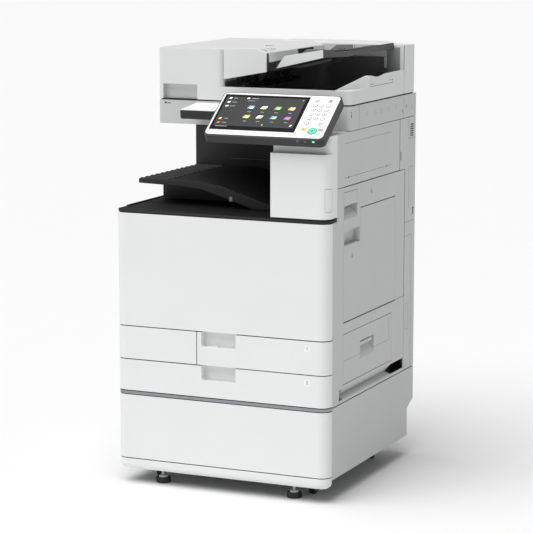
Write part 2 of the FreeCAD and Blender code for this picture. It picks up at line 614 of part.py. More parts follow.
def side_covers():
    """The outer shells of the left, rear and right sides."""
    low = "base_bottom"
    left_main = block("left_cover_main", (LEFT, f"{LEFT} + cover_wall"), (f"{SKIN} + 1", REAR),
                      (low, "deck_top - 7 - seam / 2"))
    left_rear = block("left_cover_rear", (LEFT, f"{LEFT} + cover_wall"),
                      (f"{BAY_BACK} + cover_wall + 1", REAR), ("deck_top - 7 - seam", "body_top"))
    cap = block("left_cover_cap", (LEFT, f"{READER_LEFT} + 8"),
                (f"{BAY_BACK} + cover_wall + 1", f"{REAR} - cover_wall - 0.5"),
                ("body_top - cover_wall", "body_top"))
    keep("left_cover", join("left_cover", [left_main, left_rear, cap]))

    inner_left, inner_right = f"{LEFT} + cover_wall + 0.5", f"{RIGHT} - cover_wall - 0.5"
    stepped = f"{REAR} - rear_step"
    upper = block("rear_upper", (inner_left, inner_right), (f"{REAR} - cover_wall", REAR),
                  ("rear_step_height", "body_top"))
    ledge = block("rear_ledge", (inner_left, inner_right), (f"{stepped} - cover_wall", REAR),
                  ("rear_step_height", "rear_step_height + cover_wall"))
    lower = block("rear_lower", (inner_left, inner_right), (f"{stepped} - cover_wall", stepped),
                  (f"{low} + 1", "rear_step_height"))
    vents = [block(f"vent_{index}", (f"{RIGHT} - 190 + {index * 14}", f"{RIGHT} - 182 + {index * 14}"),
                   (f"{REAR} - cover_wall - 1", f"{REAR} + 1"), ("body_top - 92", "body_top - 30"))
             for index in range(10)]
    inlet_x, inlet_z = inlet_window(0.4)
    inlet = block("rear_inlet_window", inlet_x, (f"{stepped} - 10", f"{stepped} + 1"), inlet_z)
    holes = [rod(f"screw_hole_{index}", "Y", (x, f"{REAR} - 9", z), "screw_radius + 0.1", "12")
             for index, (x, z) in enumerate(screw_places())]
    keep("rear_cover", cut("rear_cover", join("rear_cover_body", [upper, ledge, lower]),
                           vents + [inlet] + holes))

    inside, outside = f"{RIGHT} - cover_wall", RIGHT
    door_y = (f"{FRONT} + door_front", f"{REAR} - door_rear")
    slab = block("right_slab", (inside, outside), (f"{SKIN} + 1", REAR), (low, "body_top"))
    openings = [
        block("right_door_hole", (f"{inside} - 1", f"{outside} + 1"),
              (f"{door_y[0]} - seam / 2", f"{door_y[1]} + seam / 2"),
              ("side_door_bottom - seam / 2", "side_door_top + seam / 2")),
        block("lower_door_hole", (f"{inside} - 1", f"{outside} + 1"),
              (f"{door_y[0]} - seam / 2", f"{REAR} - lower_door_rear + seam / 2"),
              ("lower_door_bottom - seam / 2", "lower_door_top + seam / 2")),
        block("upper_cover_hole", (f"{inside} - 1", f"{outside} + 1"),
              (f"{FRONT} + strip_depth - seam / 2", f"{REAR} - 123"),
              ("side_door_top + seam / 2", "body_top + 1")),
        block("column_hole", (f"{inside} - 1", f"{outside} + 1"),
              (f"{SKIN} - 1", f"{FRONT} + strip_depth"), ("deck_top - 8", "body_top + 1")),
        block("undercut_hole", (f"{inside} - 1", f"{outside} + 1"),
              (f"{FRONT} + 80", door_y[1]), ("base_bottom + 8", "lower_door_bottom - 11")),
    ]
    keep("right_frame_cover", cut("right_frame_cover", slab, openings))
    keep("right_upper_cover", block(
        "right_upper_cover", (inside, outside),
        (f"{FRONT} + strip_depth + seam / 2", f"{REAR} - 125"),
        ("side_door_top + seam", "body_top")))


def output_bay():
    """The black deck and tray that catch the copies, the bay walls and the column."""
    deck_z = ("deck_top - 6", "deck_top")
    lip = rounded_front("deck_lip", (LEFT, RIGHT), (FRONT, f"{FRONT} + strip_depth - 0.5"), deck_z)
    deck = block("deck_plate", (LEFT, f"{COLUMN} + cover_wall"),
                 (f"{FRONT} + strip_depth - 1", BAY_BACK), deck_z)
    tray_under = "upper_tray_top - upper_tray_thickness"
    tray_left = f"{LEFT} + upper_tray_inset"
    block_left = f"{LEFT} + 17"
    step = "deck_top - 0.5"
    rise = [(block_left, step), (f"{COLUMN} - 155", step),
            (f"{COLUMN} - 155", "deck_top + 13"), (f"{COLUMN} - 209", "deck_top + 31"),
            (f"{COLUMN} - 264", "deck_top + 46"), (f"{COLUMN} - 322", "deck_top + 51"),
            (block_left, f"{tray_under} - 1")]
    plinth = prism("deck_plinth", "XZ", rise, (f"{FRONT} + 255", BAY_BACK))
    keep("output_tray", join("output_tray", [lip, deck, plinth]))

    low = "deck_top + 0.5"
    wave = [(tray_left, low), (f"{COLUMN} - 107", low), (f"{COLUMN} - 153", "deck_top + 14.5"),
            (f"{COLUMN} - 209", "deck_top + 32.5"), (f"{COLUMN} - 264", "deck_top + 47.5"),
            (f"{COLUMN} - 322", "deck_top + 52.5"), (tray_left, tray_under),
            (tray_left, "upper_tray_top"), (f"{COLUMN} - 268", "upper_tray_top"),
            (f"{COLUMN} - 207", "upper_tray_top - tray_fall * 0.11"),
            (f"{COLUMN} - 150", "upper_tray_top - tray_fall * 0.39"),
            (f"{COLUMN} - 58", "upper_tray_top - tray_fall * 0.84"),
            (f"{COLUMN} - 1", "upper_tray_top - tray_fall"), (f"{COLUMN} - 1", low)]
    tray_y = (f"{FRONT} + upper_tray_front", f"{BAY_BACK} - 1")
    slab = prism("upper_tray_slab", "XZ",
                 [wave[0]] + [(f"{COLUMN} - 1", low)] + wave[-2:7:-1] + [wave[7]], tray_y)
    under = prism("upper_tray_under", "XZ",
                  [(f"{tray_left} - 1", "deck_top - 1"), (f"{COLUMN} - 107", "deck_top - 1")]
                  + wave[1:6] + [(f"{tray_left} - 1", tray_under)],
                  (f"{FRONT} + upper_tray_front - 1", BAY_BACK))
    keep("upper_output_tray", cut("upper_output_tray", slab, [under]))

    back = block("bay_back", (f"{LEFT}", f"{COLUMN} + cover_wall"),
                 (BAY_BACK, f"{BAY_BACK} + cover_wall"), ("deck_top", "body_top"))
    side = block("bay_side", (COLUMN, f"{COLUMN} + cover_wall"),
                 (f"{FRONT} + strip_depth", BAY_BACK), ("deck_top", "body_top"))
    exits = [block(f"exit_slot_{level}", (f"{COLUMN} - 1", f"{COLUMN} + cover_wall + 1"),
                   (f"{FRONT} + 150", f"{BAY_BACK} - 30"), (height, f"{height} + 14"))
             for level, height in (("low", "upper_tray_top - tray_fall + 22"),
                                   ("high", "upper_tray_top + 48"))]
    keep("output_bay_wall", cut("output_bay_wall", join("bay_walls", [back, side]), exits))

    gap = "deck_top + 4"
    face_y = (FRONT, f"{FRONT} + strip_depth - 0.5")
    lower = rounded_front("column_lower", (COLUMN, RIGHT), face_y, (gap, "column_top"))
    upper = rounded_front("column_upper", (COLUMN, RIGHT),
                          (f"{FRONT} + shoulder_setback", face_y[1]),
                          ("column_top - 1", "body_top"), "shoulder_setback")
    edges = [block("column_edge_lower", (COLUMN, f"{COLUMN} + corner_radius"), face_y,
                   (gap, "column_top")),
             block("column_edge_upper", (COLUMN, f"{COLUMN} + shoulder_setback"),
                   (f"{FRONT} + shoulder_setback", face_y[1]), ("column_top - 1", "body_top"))]
    hollow = block("column_hollow",
                   (f"{COLUMN} + cover_wall", f"{RIGHT} - corner_radius * 0.55"),
                   (f"{FRONT} + shoulder_setback + cover_wall", f"{face_y[1]} + 1"),
                   (f"{gap} + cover_wall", "body_top - cover_wall"))
    pocket = block("flap_pocket", (f"{RIGHT} - corner_radius * 0.42 - 0.5", f"{RIGHT} + 1"),
                   (f"{FRONT} - 1", f"{FRONT} + corner_radius"),
                   ("flap_bottom - 1", "flap_bottom + flap_height + 1"))
    ledge = block("column_ledge", (f"{COLUMN} + cover_wall", f"{RIGHT} - cover_wall - 0.5"),
                  (f"{face_y[1]} - 1", f"{READER_FRONT} + 12"), ("body_top - cover_wall", "body_top"))
    hinge_y, _ = panel_hinge()
    arm_slot = block("arm_slot", (f"{PANEL_LEFT} + 221", f"{PANEL_LEFT} + 299"),
                     (f"{hinge_y} - hinge_radius - 1", f"{hinge_y} + hinge_radius + 1"),
                     ("body_top - 9", "body_top + 1"))
    keep("column_cover", cut("column_cover", join("column_body", [lower, upper, ledge] + edges),
                             [hollow, pocket, arm_slot]))

    outer = rod("flap_outer", "Z", (f"{RIGHT} - corner_radius", f"{FRONT} + corner_radius",
                                    "flap_bottom"), "corner_radius", "flap_height")
    inner = rod("flap_inner", "Z", (f"{RIGHT} - corner_radius", f"{FRONT} + corner_radius",
                                    "flap_bottom - 1"), "corner_radius - flap_wall",
                "flap_height + 2")
    window = block("flap_window", (f"{RIGHT} - corner_radius * 0.42", f"{RIGHT} + 1"),
                   (f"{FRONT} - 1", f"{FRONT} + corner_radius - 1"),
                   ("flap_bottom", "flap_bottom + flap_height"))
    ring = cut("flap_ring", outer, [inner])
    flap = doc.addObject("Part::MultiCommon", "power_switch_flap")
    flap.Shapes = [ring, window]
    keep("power_switch_flap", flap)


def front_doors():
    """The big front door, the waste toner door and the two paper cassettes."""
    keep("front_door", hollow_front("front_door", (LEFT, RIGHT), ("door_bottom", "door_top"), []))
    upper_z = ("upper_cassette_bottom", "door_bottom - seam")
    lower_z = ("lower_cassette_bottom", "upper_cassette_bottom - seam")
    skin = rounded_front("waste_skin", (LEFT, RIGHT), (FRONT, SKIN), upper_z)
    spare = block("waste_spare", (SPLIT, f"{RIGHT} + 1"),
                  (f"{FRONT} - 1", f"{SKIN} + 1"), (f"{upper_z[0]} - 1", f"{upper_z[1]} + 1"))
    recess = block("waste_recess", (f"{LEFT} + corner_radius * 0.45", f"{SPLIT} - cover_wall"),
                   (f"{FRONT} + 2 * cover_wall", f"{SKIN} + 1"),
                   (f"{upper_z[0]} + cover_wall", f"{upper_z[1]} - cover_wall"))
    keep("waste_toner_door", cut("waste_toner_door", skin, [spare, recess]))
    cassette("upper", f"{SPLIT} + seam", upper_z)
    cassette("lower", LEFT, lower_z)


def cassette(level, left, z):
    """A paper cassette: rounded front with a finger recess, and an open tray."""
    grip = block(f"grip_{level}", (GRIP_LEFT, f"{GRIP_LEFT} + grip_width"),
                 (f"{FRONT} - 1", f"{FRONT} + grip_depth"), (f"{z[1]} - grip_height", f"{z[1]} + 1"))
    scoop = block(f"scoop_{level}",
                  (f"{GRIP_LEFT} - cover_wall", f"{GRIP_LEFT} + grip_width + cover_wall"),
                  (FRONT, f"{FRONT} + grip_depth + cover_wall"),
                  (f"{z[1]} - grip_height - cover_wall", z[1]))
    skin = rounded_front(f"{level}_skin", (LEFT, RIGHT), (FRONT, SKIN), z)
    recess = block(f"{level}_recess",
                   (f"{left} + corner_radius * 0.45", f"{RIGHT} - corner_radius * 0.45"),
                   (f"{FRONT} + 2 * cover_wall", f"{SKIN} + 1"),
                   (f"{z[0]} + cover_wall", f"{z[1]} - cover_wall"))
    spare = block(f"{level}_spare", (f"{LEFT} - 1", left), (f"{FRONT} - 1", f"{SKIN} + 1"),
                  (f"{z[0]} - 1", f"{z[1]} + 1"))
    shell = cut(f"{level}_shell", skin, [recess, spare] if level == "upper" else [recess])
    front = cut(f"{level}_front", join(f"{level}_front_solid", [shell, scoop]), [grip])
    floor_z = f"{z[0]} + cover_wall + 1"
    x = (f"{left} + tray_margin", f"{RIGHT} - side_door_depth - 36")
    back = f"{REAR} - tray_rear_gap"
    start = f"{FRONT} + 2 * cover_wall - 1"
    outer = block(f"{level}_tray_outer", x, (f"{SKIN} - 1", back),
                  (floor_z, f"{floor_z} + tray_height"))
    inner = block(f"{level}_tray_inner", (f"{x[0]} + tray_wall", f"{x[1]} - tray_wall"),
                  (f"{SKIN} + tray_wall", f"{back} - tray_wall"),
                  (f"{floor_z} + tray_wall", f"{floor_z} + tray_height + 1"))
    tray = cut(f"{level}_tray", outer, [inner])
    ties = [block(f"{level}_tie_{index}", (place, f"{place} + 30"), (start, f"{SKIN} + 1"),
                  (floor_z, f"{floor_z} + tray_height - 15"))
            for index, place in enumerate((f"{x[0]} + 6", f"{x[1]} - 40"))]
    keep(f"{level}_cassette", join(f"{level}_cassette", [front, tray] + ties))


def right_side_doors():
    """The jam door with its lever and bypass tray, and the lower door."""
    y = (f"{FRONT} + door_front", f"{REAR} - door_rear")
    inside = f"{RIGHT} - side_door_depth"
    slab = block("jam_door_slab", (inside, RIGHT), y, ("side_door_bottom", "side_door_top"))
    hollow = block("jam_door_hollow", (f"{inside} - 1", f"{RIGHT} - bypass_thickness - 5"),
                   (f"{y[0]} + 116", f"{y[1]} - cover_wall"),
                   ("side_door_bottom + cover_wall", "side_door_top - cover_wall"))
    lap = "lid_gap"
    step_y = f"{FRONT} + bypass_step"
    tray_rear = f"{REAR} - bypass_rear"
    tray_x = f"{RIGHT} - bypass_thickness"
    well = prism("bypass_well", "YZ", [
        (f"{y[0]} - 1", "side_door_bottom - 1"), (f"{tray_rear} + {lap}", "side_door_bottom - 1"),
        (f"{tray_rear} + {lap}", f"bypass_top + {lap}"), (f"{step_y} - {lap}", f"bypass_top + {lap}"),
        (f"{step_y} - {lap}", f"bypass_shoulder + {lap}"),
        (f"{y[0]} - 1", f"bypass_shoulder + {lap}")],
        (f"{tray_x} - {lap}", f"{RIGHT} + 1"))
    notch = block("bypass_notch", (f"{RIGHT} - 18", f"{RIGHT} + 1"),
                  (f"{y[0]} + 4", f"{step_y} - 3"), ("bypass_shoulder - 1", "notch_top"))
    lever_y = (f"{y[0]} + 3", f"{y[0]} + 3 + lever_length")
    lever_well = block("lever_well", (f"{RIGHT} - 6", f"{RIGHT} + 1"),
                       (f"{lever_y[0]} - 1", f"{lever_y[1]} + 1"), ("lever_bottom - 1", "lever_top + 1"))
    lever_scoop = block("lever_scoop", (f"{RIGHT} - 20", f"{RIGHT} + 1"),
                        (f"{lever_y[0]} - 1", f"{lever_y[1]} + 1"),
                        ("lever_recess_bottom", "lever_bottom + 12"))
    keep("right_door", cut("right_door", slab, [hollow, well, notch, lever_well, lever_scoop]))

    keep("right_door_lever", block("right_door_lever", (f"{RIGHT} - 4", RIGHT), lever_y,
                                   ("lever_bottom", "lever_top")))
    keep("bypass_tray", prism("bypass_tray", "YZ", [
        (y[0], "side_door_bottom"), (tray_rear, "side_door_bottom"), (tray_rear, "bypass_top"),
        (step_y, "bypass_top"), (step_y, "bypass_shoulder"), (y[0], "bypass_shoulder")],
        (tray_x, RIGHT)))

    low_y = (f"{FRONT} + door_front", f"{REAR} - lower_door_rear")
    low = block("lower_slab", (inside, RIGHT), low_y, ("lower_door_bottom", "lower_door_top"))
    grip_y = (f"{FRONT} + side_grip_front", f"{FRONT} + side_grip_front + side_grip_width")
    grip = block("lower_grip", (f"{RIGHT} - 18", f"{RIGHT} + 1"), grip_y,
                 ("side_grip_bottom", "side_grip_bottom + side_grip_height"))
    keep("lower_right_door", cut("lower_right_door", low, [grip]))


# ---------------------------------------------------------------- reader and feeder
def reader():
    """The flatbed reader: housing, platen glass and moving carriage."""
    x, y, z = (READER_LEFT, RIGHT), (READER_FRONT, REAR), ("body_top + 1.5", "reader_top")
    case = rounded_front("reader_case", x, y, z, "corner_radius / 2")
    hollow = block("reader_hollow", (f"{x[0]} + 8", f"{x[1]} - 8"), (f"{y[0]} + 8", f"{y[1]} - 60"),
                   (f"{z[0]} + cover_wall", f"{z[1]} - 6"))
    glass_x = (f"{READER_LEFT} + glass_side_margin", f"{RIGHT} - glass_side_margin")
    glass_y = (f"{READER_FRONT} + glass_front_margin", f"{REAR} - glass_rear_margin")
    window = block("reader_window", (f"{glass_x[0]} + 8", f"{glass_x[1]} - 8"),
                   (f"{glass_y[0]} + 8", f"{glass_y[1]} - 8"), (f"{z[1]} - 7", f"{z[1]} + 1"))
    seat = block("glass_seat", (f"{glass_x[0]} - 0.2", f"{glass_x[1]} + 0.2"),
                 (f"{glass_y[0]} - 0.2", f"{glass_y[1]} + 0.2"),
                 (f"{z[1]} - glass_thickness", f"{z[1]} + 1"))
    rail = rod("carriage_rail", "X", (f"{x[0]} + 7", f"{glass_y[1]} + 20", f"{z[0]} + 24"), "5",
               f"{x[1]} - ({x[0]}) - 14")
    keep("reader_housing", join("reader_housing",
                                [cut("reader_shell", case, [hollow, window, seat]), rail]))
    keep("platen_glass", block("platen_glass", glass_x, glass_y,
                               (f"{z[1]} - glass_thickness", z[1])))
    bar_x = (f"{x[0]} + 22", f"{x[0]} + 22 + carriage_width")
    bar = block("carriage_bar", bar_x, (f"{y[0]} + 20", f"{glass_y[1]} + 34"),
                (f"{z[0]} + 12", f"{z[1]} - 14"))
    bore = rod("carriage_bore", "X", (f"{bar_x[0]} - 1", f"{glass_y[1]} + 20", f"{z[0]} + 24"),
               "5 + running_gap", "carriage_width + 2")
    keep("scan_carriage", cut("scan_carriage", bar, [bore]))


def document_feeder():
    """The lid over the glass, with the mechanism that feeds originals through it."""
    x = (READER_LEFT, RIGHT)
    y = (READER_FRONT, f"{REAR} - feeder_rear_inset")
    base = "feeder_bottom"
    back_front = f"{REAR} - feeder_back"
    plate = rounded_front("feeder_plate", x, y, (base, f"{base} + 8"), "corner_radius / 2")
    left_block = rounded_front("feeder_left_block", (x[0], BLOCK_RIGHT),
                               (y[0], y[1]), (base, "overall_height - 6"), "corner_radius / 2")
    grip = block("feeder_grip", (f"{x[0]} + 16", f"{x[0]} + 118"), (f"{y[0]} - 1", f"{y[0]} + 18"),
                 (f"{base} - 1", f"{base} + 40"))
    rebate = block("feeder_rebate", (f"{x[0]} - 1", f"{BLOCK_RIGHT} + 0.5"),
                   (f"{y[0]} + 12", f"{back_front} + 20"), ("feeder_block_top", "overall_height"))
    rebate_rear = block("feeder_rebate_rear", (f"{x[0]} - 1", f"{BLOCK_RIGHT} - 1"),
                        (f"{back_front} + 19", f"{y[1]} - 6"), ("feeder_block_top", "overall_height"))
    rim_z = (f"{base} + 7", "feeder_rim")
    rim_outer = rounded_front("feeder_rim_outer", (f"{BLOCK_RIGHT} - 30", RIGHT),
                              (y[0], f"{y[0]} + 30"), rim_z, "corner_radius / 2")
    rim_inner = block("feeder_rim_inner", (f"{BLOCK_RIGHT} - 31", f"{RIGHT} - 12"),
                      (f"{y[0]} + 12", f"{y[0]} + 31"), rim_z)
    rim = cut("feeder_rim_wall", rim_outer, [rim_inner])
    side = prism("feeder_side", "YZ", [
        (f"{y[0]} + 14", f"{base} + 7"), (f"{back_front} + 1", f"{base} + 7"),
        (f"{back_front} + 1", "feeder_side_rim - 3"), (f"{y[0]} + 273", "feeder_side_rim - 4"),
        (f"{y[0]} + 260", "feeder_side_rim - 6"), (f"{y[0]} + 227", "feeder_side_rim - 9"),
        (f"{y[0]} + 187", "feeder_side_rim - 7"), (f"{y[0]} + 154", "feeder_side_rim - 1.5"),
        (f"{y[0]} + 138", "feeder_side_rim"), (f"{y[0]} + 112", "feeder_rim"),
        (f"{y[0]} + 14", "feeder_rim")], (f"{RIGHT} - 12", RIGHT))
    back = block("feeder_back_wall", (f"{BLOCK_RIGHT} - 1", RIGHT), (back_front, y[1]),
                 (f"{base} + 7", "overall_height - 8"))
    solid = join("feeder_solid", [plate, left_block, rim, side, back])
    core = block("feeder_core", (f"{x[0]} + 5", f"{BLOCK_RIGHT} - 5"), (f"{y[0]} + 22", f"{y[1]} - 5"),
                 (f"{base} + 8", "feeder_block_top + 1"))
    keep("feeder_body", cut("feeder_body", solid, [grip, core, rebate, rebate_rear]))

    top_z = ("feeder_block_top + 1", "overall_height - 4")
    nose_y = (f"{y[0]} + 3", f"{back_front} - lid_gap")
    top = block("feeder_top", (f"{x[0]} + 1", f"{BLOCK_RIGHT} - 2"),
                (f"{y[0]} + 13", f"{y[1]} - 8"), top_z)
    bridge = block("feeder_bridge", (f"{BLOCK_RIGHT} - 10", f"{BLOCK_RIGHT} + 4"),
                   (f"{y[0]} + 13", nose_y[1]), top_z)
    nose = prism("feeder_nose", "XZ", [
        (f"{BLOCK_RIGHT} + 1", "cover_lip - 3"), (NOSE_RIGHT, "cover_lip + 20"),
        (NOSE_RIGHT, "overall_height - 12"), (f"{NOSE_RIGHT} - 32", "overall_height"),
        (f"{BLOCK_RIGHT} + 1", "overall_height - 4")], nose_y)
    nose_core = prism("feeder_nose_core", "XZ", [
        (f"{BLOCK_RIGHT} + 5", "cover_lip - 12"), (f"{NOSE_RIGHT} + 5", "cover_lip + 1"),
        (f"{NOSE_RIGHT} + 5", "cover_lip + 32"), (f"{NOSE_RIGHT} - 6", "overall_height - 26"),
        (f"{BLOCK_RIGHT} + 5", "overall_height - 14")],
        (f"{y[0]} + 9", f"{back_front} - 8"))
    keep("feeder_cover", join("feeder_cover",
                              [top, bridge, cut("feeder_nose_shell", nose, [nose_core])]))

    tray_x = (f"{NOSE_RIGHT} + doc_tray_gap", f"{RIGHT} - doc_tray_side_inset")
    tray_y = (f"{y[0]} + doc_tray_front", f"{back_front} - 2")
    knee = f"{tray_x[0]} + doc_tray_steep"
    high = "doc_tray_low + doc_tray_rise"
    end = f"{high} + doc_tray_ease"
    keep("document_tray", prism("document_tray", "XZ", [
        (tray_x[0], "doc_tray_low"), (knee, high), (tray_x[1], end),
        (tray_x[1], f"{end} + doc_tray_thickness"), (knee, f"{high} + doc_tray_thickness"),
        (tray_x[0], "doc_tray_low + doc_tray_thickness")], tray_y))

    middle = f"(({tray_y[0]}) + ({tray_y[1]})) / 2"
    slope = "(doc_tray_rise / doc_tray_steep)"
    start = f"{tray_x[0]} + doc_guide_start"
    foot_z = f"doc_tray_low + doc_tray_thickness + 0.4 + doc_guide_start * {slope}"
    end_z = f"{foot_z} + doc_guide_length * {slope}"
    for name, side_of in (("front", -1), ("rear", 1)):
        keep(f"document_guide_{name}", prism(f"document_guide_{name}", "XZ", [
            (start, foot_z), (f"{start} + doc_guide_length", end_z),
            (f"{start} + doc_guide_length", f"{end_z} + doc_guide_end"),
            (f"{start} + doc_guide_ramp", f"{foot_z} + doc_guide_ramp * {slope} + doc_guide_height"),
            (start, f"{foot_z} + doc_guide_height / 3")],
            (f"{middle} + {104 * side_of} - 2", f"{middle} + {104 * side_of} + 2")))

    spindle = rod("roller_spindle", "Y", (f"{BLOCK_RIGHT} + 52", f"{y[0]} + 14", "feeder_rim + 2"),
                  "4", f"{back_front} - ({y[0]}) - 15")
    rings = [rod(f"roller_ring_{index}", "Y",
                 (f"{BLOCK_RIGHT} + 52", f"{y[0]} + {30 + 70 * index}", "feeder_rim + 2"),
                 "roller_radius", "26") for index in range(5)]
    keep("feed_roller", join("feed_roller", [spindle] + rings))
    keep("platen_pad", block(
        "platen_pad", (f"{x[0]} + glass_side_margin + 4", f"{x[1]} - glass_side_margin - 4"),
        (f"{y[0]} + glass_front_margin + 4", f"{y[1]} - glass_rear_margin - 4"),
        ("reader_top + 0.5", base)))


# ---------------------------------------------------------------- control panel
FUNCTION_KEYS = [
    ("counter_key", "key_column", "key_row + 69"),
    ("sleep_key", "key_column + 37", "key_row + 69"),
    ("reset_key", "key_column", "key_row - 19.5"),
    ("settings_key", "key_column + 37", "key_row - 19.5"),
]


def control_panel():
    """The tilting operation panel with its screen and keys."""
    slab = panel_block("panel_slab", ("0", "panel_width"), ("0", "panel_length"),
                       ("-panel_thickness", "0"))
    slab_soft = doc.addObject("Part::Fillet", "panel_soft")
    slab_soft.Base = slab
    doc.recompute()
    rounded = []
    for index, edge in enumerate(slab.Shape.Edges, start=1):
        along = edge.tangentAt(edge.FirstParameter)
        square = abs(along.x) < 1e-6 and abs(edge.Length - number("panel_thickness")) < 1e-6
        if square:
            rounded.append((index, number("panel_radius"), number("panel_radius")))
    slab_soft.Edges = rounded
    deep = "-key_travel - 3.5"
    holes = [panel_block("screen_seat", ("screen_left - 0.2", "screen_left + screen_width + 0.2"),
                         ("screen_low - 0.2", "screen_low + screen_length + 0.2"),
                         ("-screen_thickness", "1"))]
    pitch_x, pitch_y = "key_pitch_across", "key_pitch_up"
    grid = [(f"key_column + {column} * {pitch_x}", f"key_row + {row} * {pitch_y}")
            for row in range(3, -1, -1) for column in range(3)]
    holes += [panel_disc(f"number_hole_{index}", across, up, (deep, "1"), "key_radius + key_gap")
              for index, (across, up) in enumerate(grid)]
    mat_across = ("key_column - 8", f"key_column + 2 * {pitch_x} + 8")
    mat_up = ("key_row - 7", f"key_row + 3 * {pitch_y} + 7")
    holes.append(panel_block(
        "mat_pocket", (f"{mat_across[0]} - 1", f"{mat_across[1]} + 1"),
        (f"{mat_up[0]} - 1", f"{mat_up[1]} + 1"), ("-7 - key_travel", "-2.4")))
    for name, across, up in FUNCTION_KEYS:
        holes.append(panel_disc(f"{name}_hole", across, up, (deep, "1"), "key_radius + key_gap"))
    start_at = ("key_column + 25", "key_row - 48.5")
    holes.append(panel_disc("start_hole", *start_at, (deep, "1"), "start_radius + key_gap"))
    for name, across in (("clear_key", "key_column - 1"), ("stop_key", "key_column + 46")):
        holes.append(panel_block(f"{name}_hole", (f"{across} - 7 - key_gap", f"{across} + 7 + key_gap"),
                                 ("key_row - 42.6 - 4.5 - key_gap", "key_row - 42.6 + 4.5 + key_gap"),
                                 (deep, "1")))
    hinge_y, hinge_z = panel_hinge()
    lean = "(panel_tilt * 1 deg)"
    underside = (f"panel_base + ({hinge_y} - ({FRONT}) + panel_overhang) * tan{lean}"
                 f" - panel_thickness / cos{lean}")
    lugs = []
    for index, low in enumerate((f"{PANEL_LEFT} + 211", f"{PANEL_LEFT} + 299")):
        ear = block(f"panel_ear_{index}", (low, f"{low} + 10"),
                    (f"{hinge_y} - 9", f"{hinge_y} + 9"), (f"{hinge_z} - 9", f"{underside} + panel_ear_bite"))
        eye = rod(f"panel_eye_{index}", "X", (f"{low} - 1", hinge_y, hinge_z),
                  "hinge_radius / 2 + running_gap", "12")
        lugs.append(cut(f"panel_lug_{index}", ear, [eye]))
    plate = cut("panel_plate", slab_soft, holes)
    keep("control_panel", join("control_panel", [plate] + lugs))

    keep("touch_screen", panel_block(
        "touch_screen", ("screen_left", "screen_left + screen_width"),
        ("screen_low", "screen_low + screen_length"), ("-screen_thickness", "0.2")))

    stand = ("-3.4", "key_stand")
    caps = [panel_disc(f"number_cap_{index}", across, up, ("-4.4", "key_stand"), "key_radius")
            for index, (across, up) in enumerate(grid)]
    mat = panel_block("number_mat", mat_across, mat_up, ("-5.9", "-3.9"))
    keep("number_keypad", join("number_keypad", [mat] + caps))
    for name, across, up in FUNCTION_KEYS:
        keep(name, panel_disc(name, across, up, stand, "key_radius"))
    keep("start_key", panel_disc("start_key", *start_at, stand, "start_radius"))
    for name, across in (("clear_key", "key_column - 1"), ("stop_key", "key_column + 46")):
        keep(name, panel_block(name, (f"{across} - 7", f"{across} + 7"),
                               ("key_row - 42.6 - 4.5", "key_row - 42.6 + 4.5"), stand))

    shelf_y = (f"{READER_FRONT} - 104", READER_FRONT)
    keep("side_shelf", prism("side_shelf", "YZ", [
        (shelf_y[0], "body_top + 26"), (shelf_y[1], "body_top + 30"),
        (shelf_y[1], "body_top + 60"), (shelf_y[0], "body_top + 49")],
        (f"{PANEL_LEFT} - 109", f"{PANEL_LEFT} - 5")))


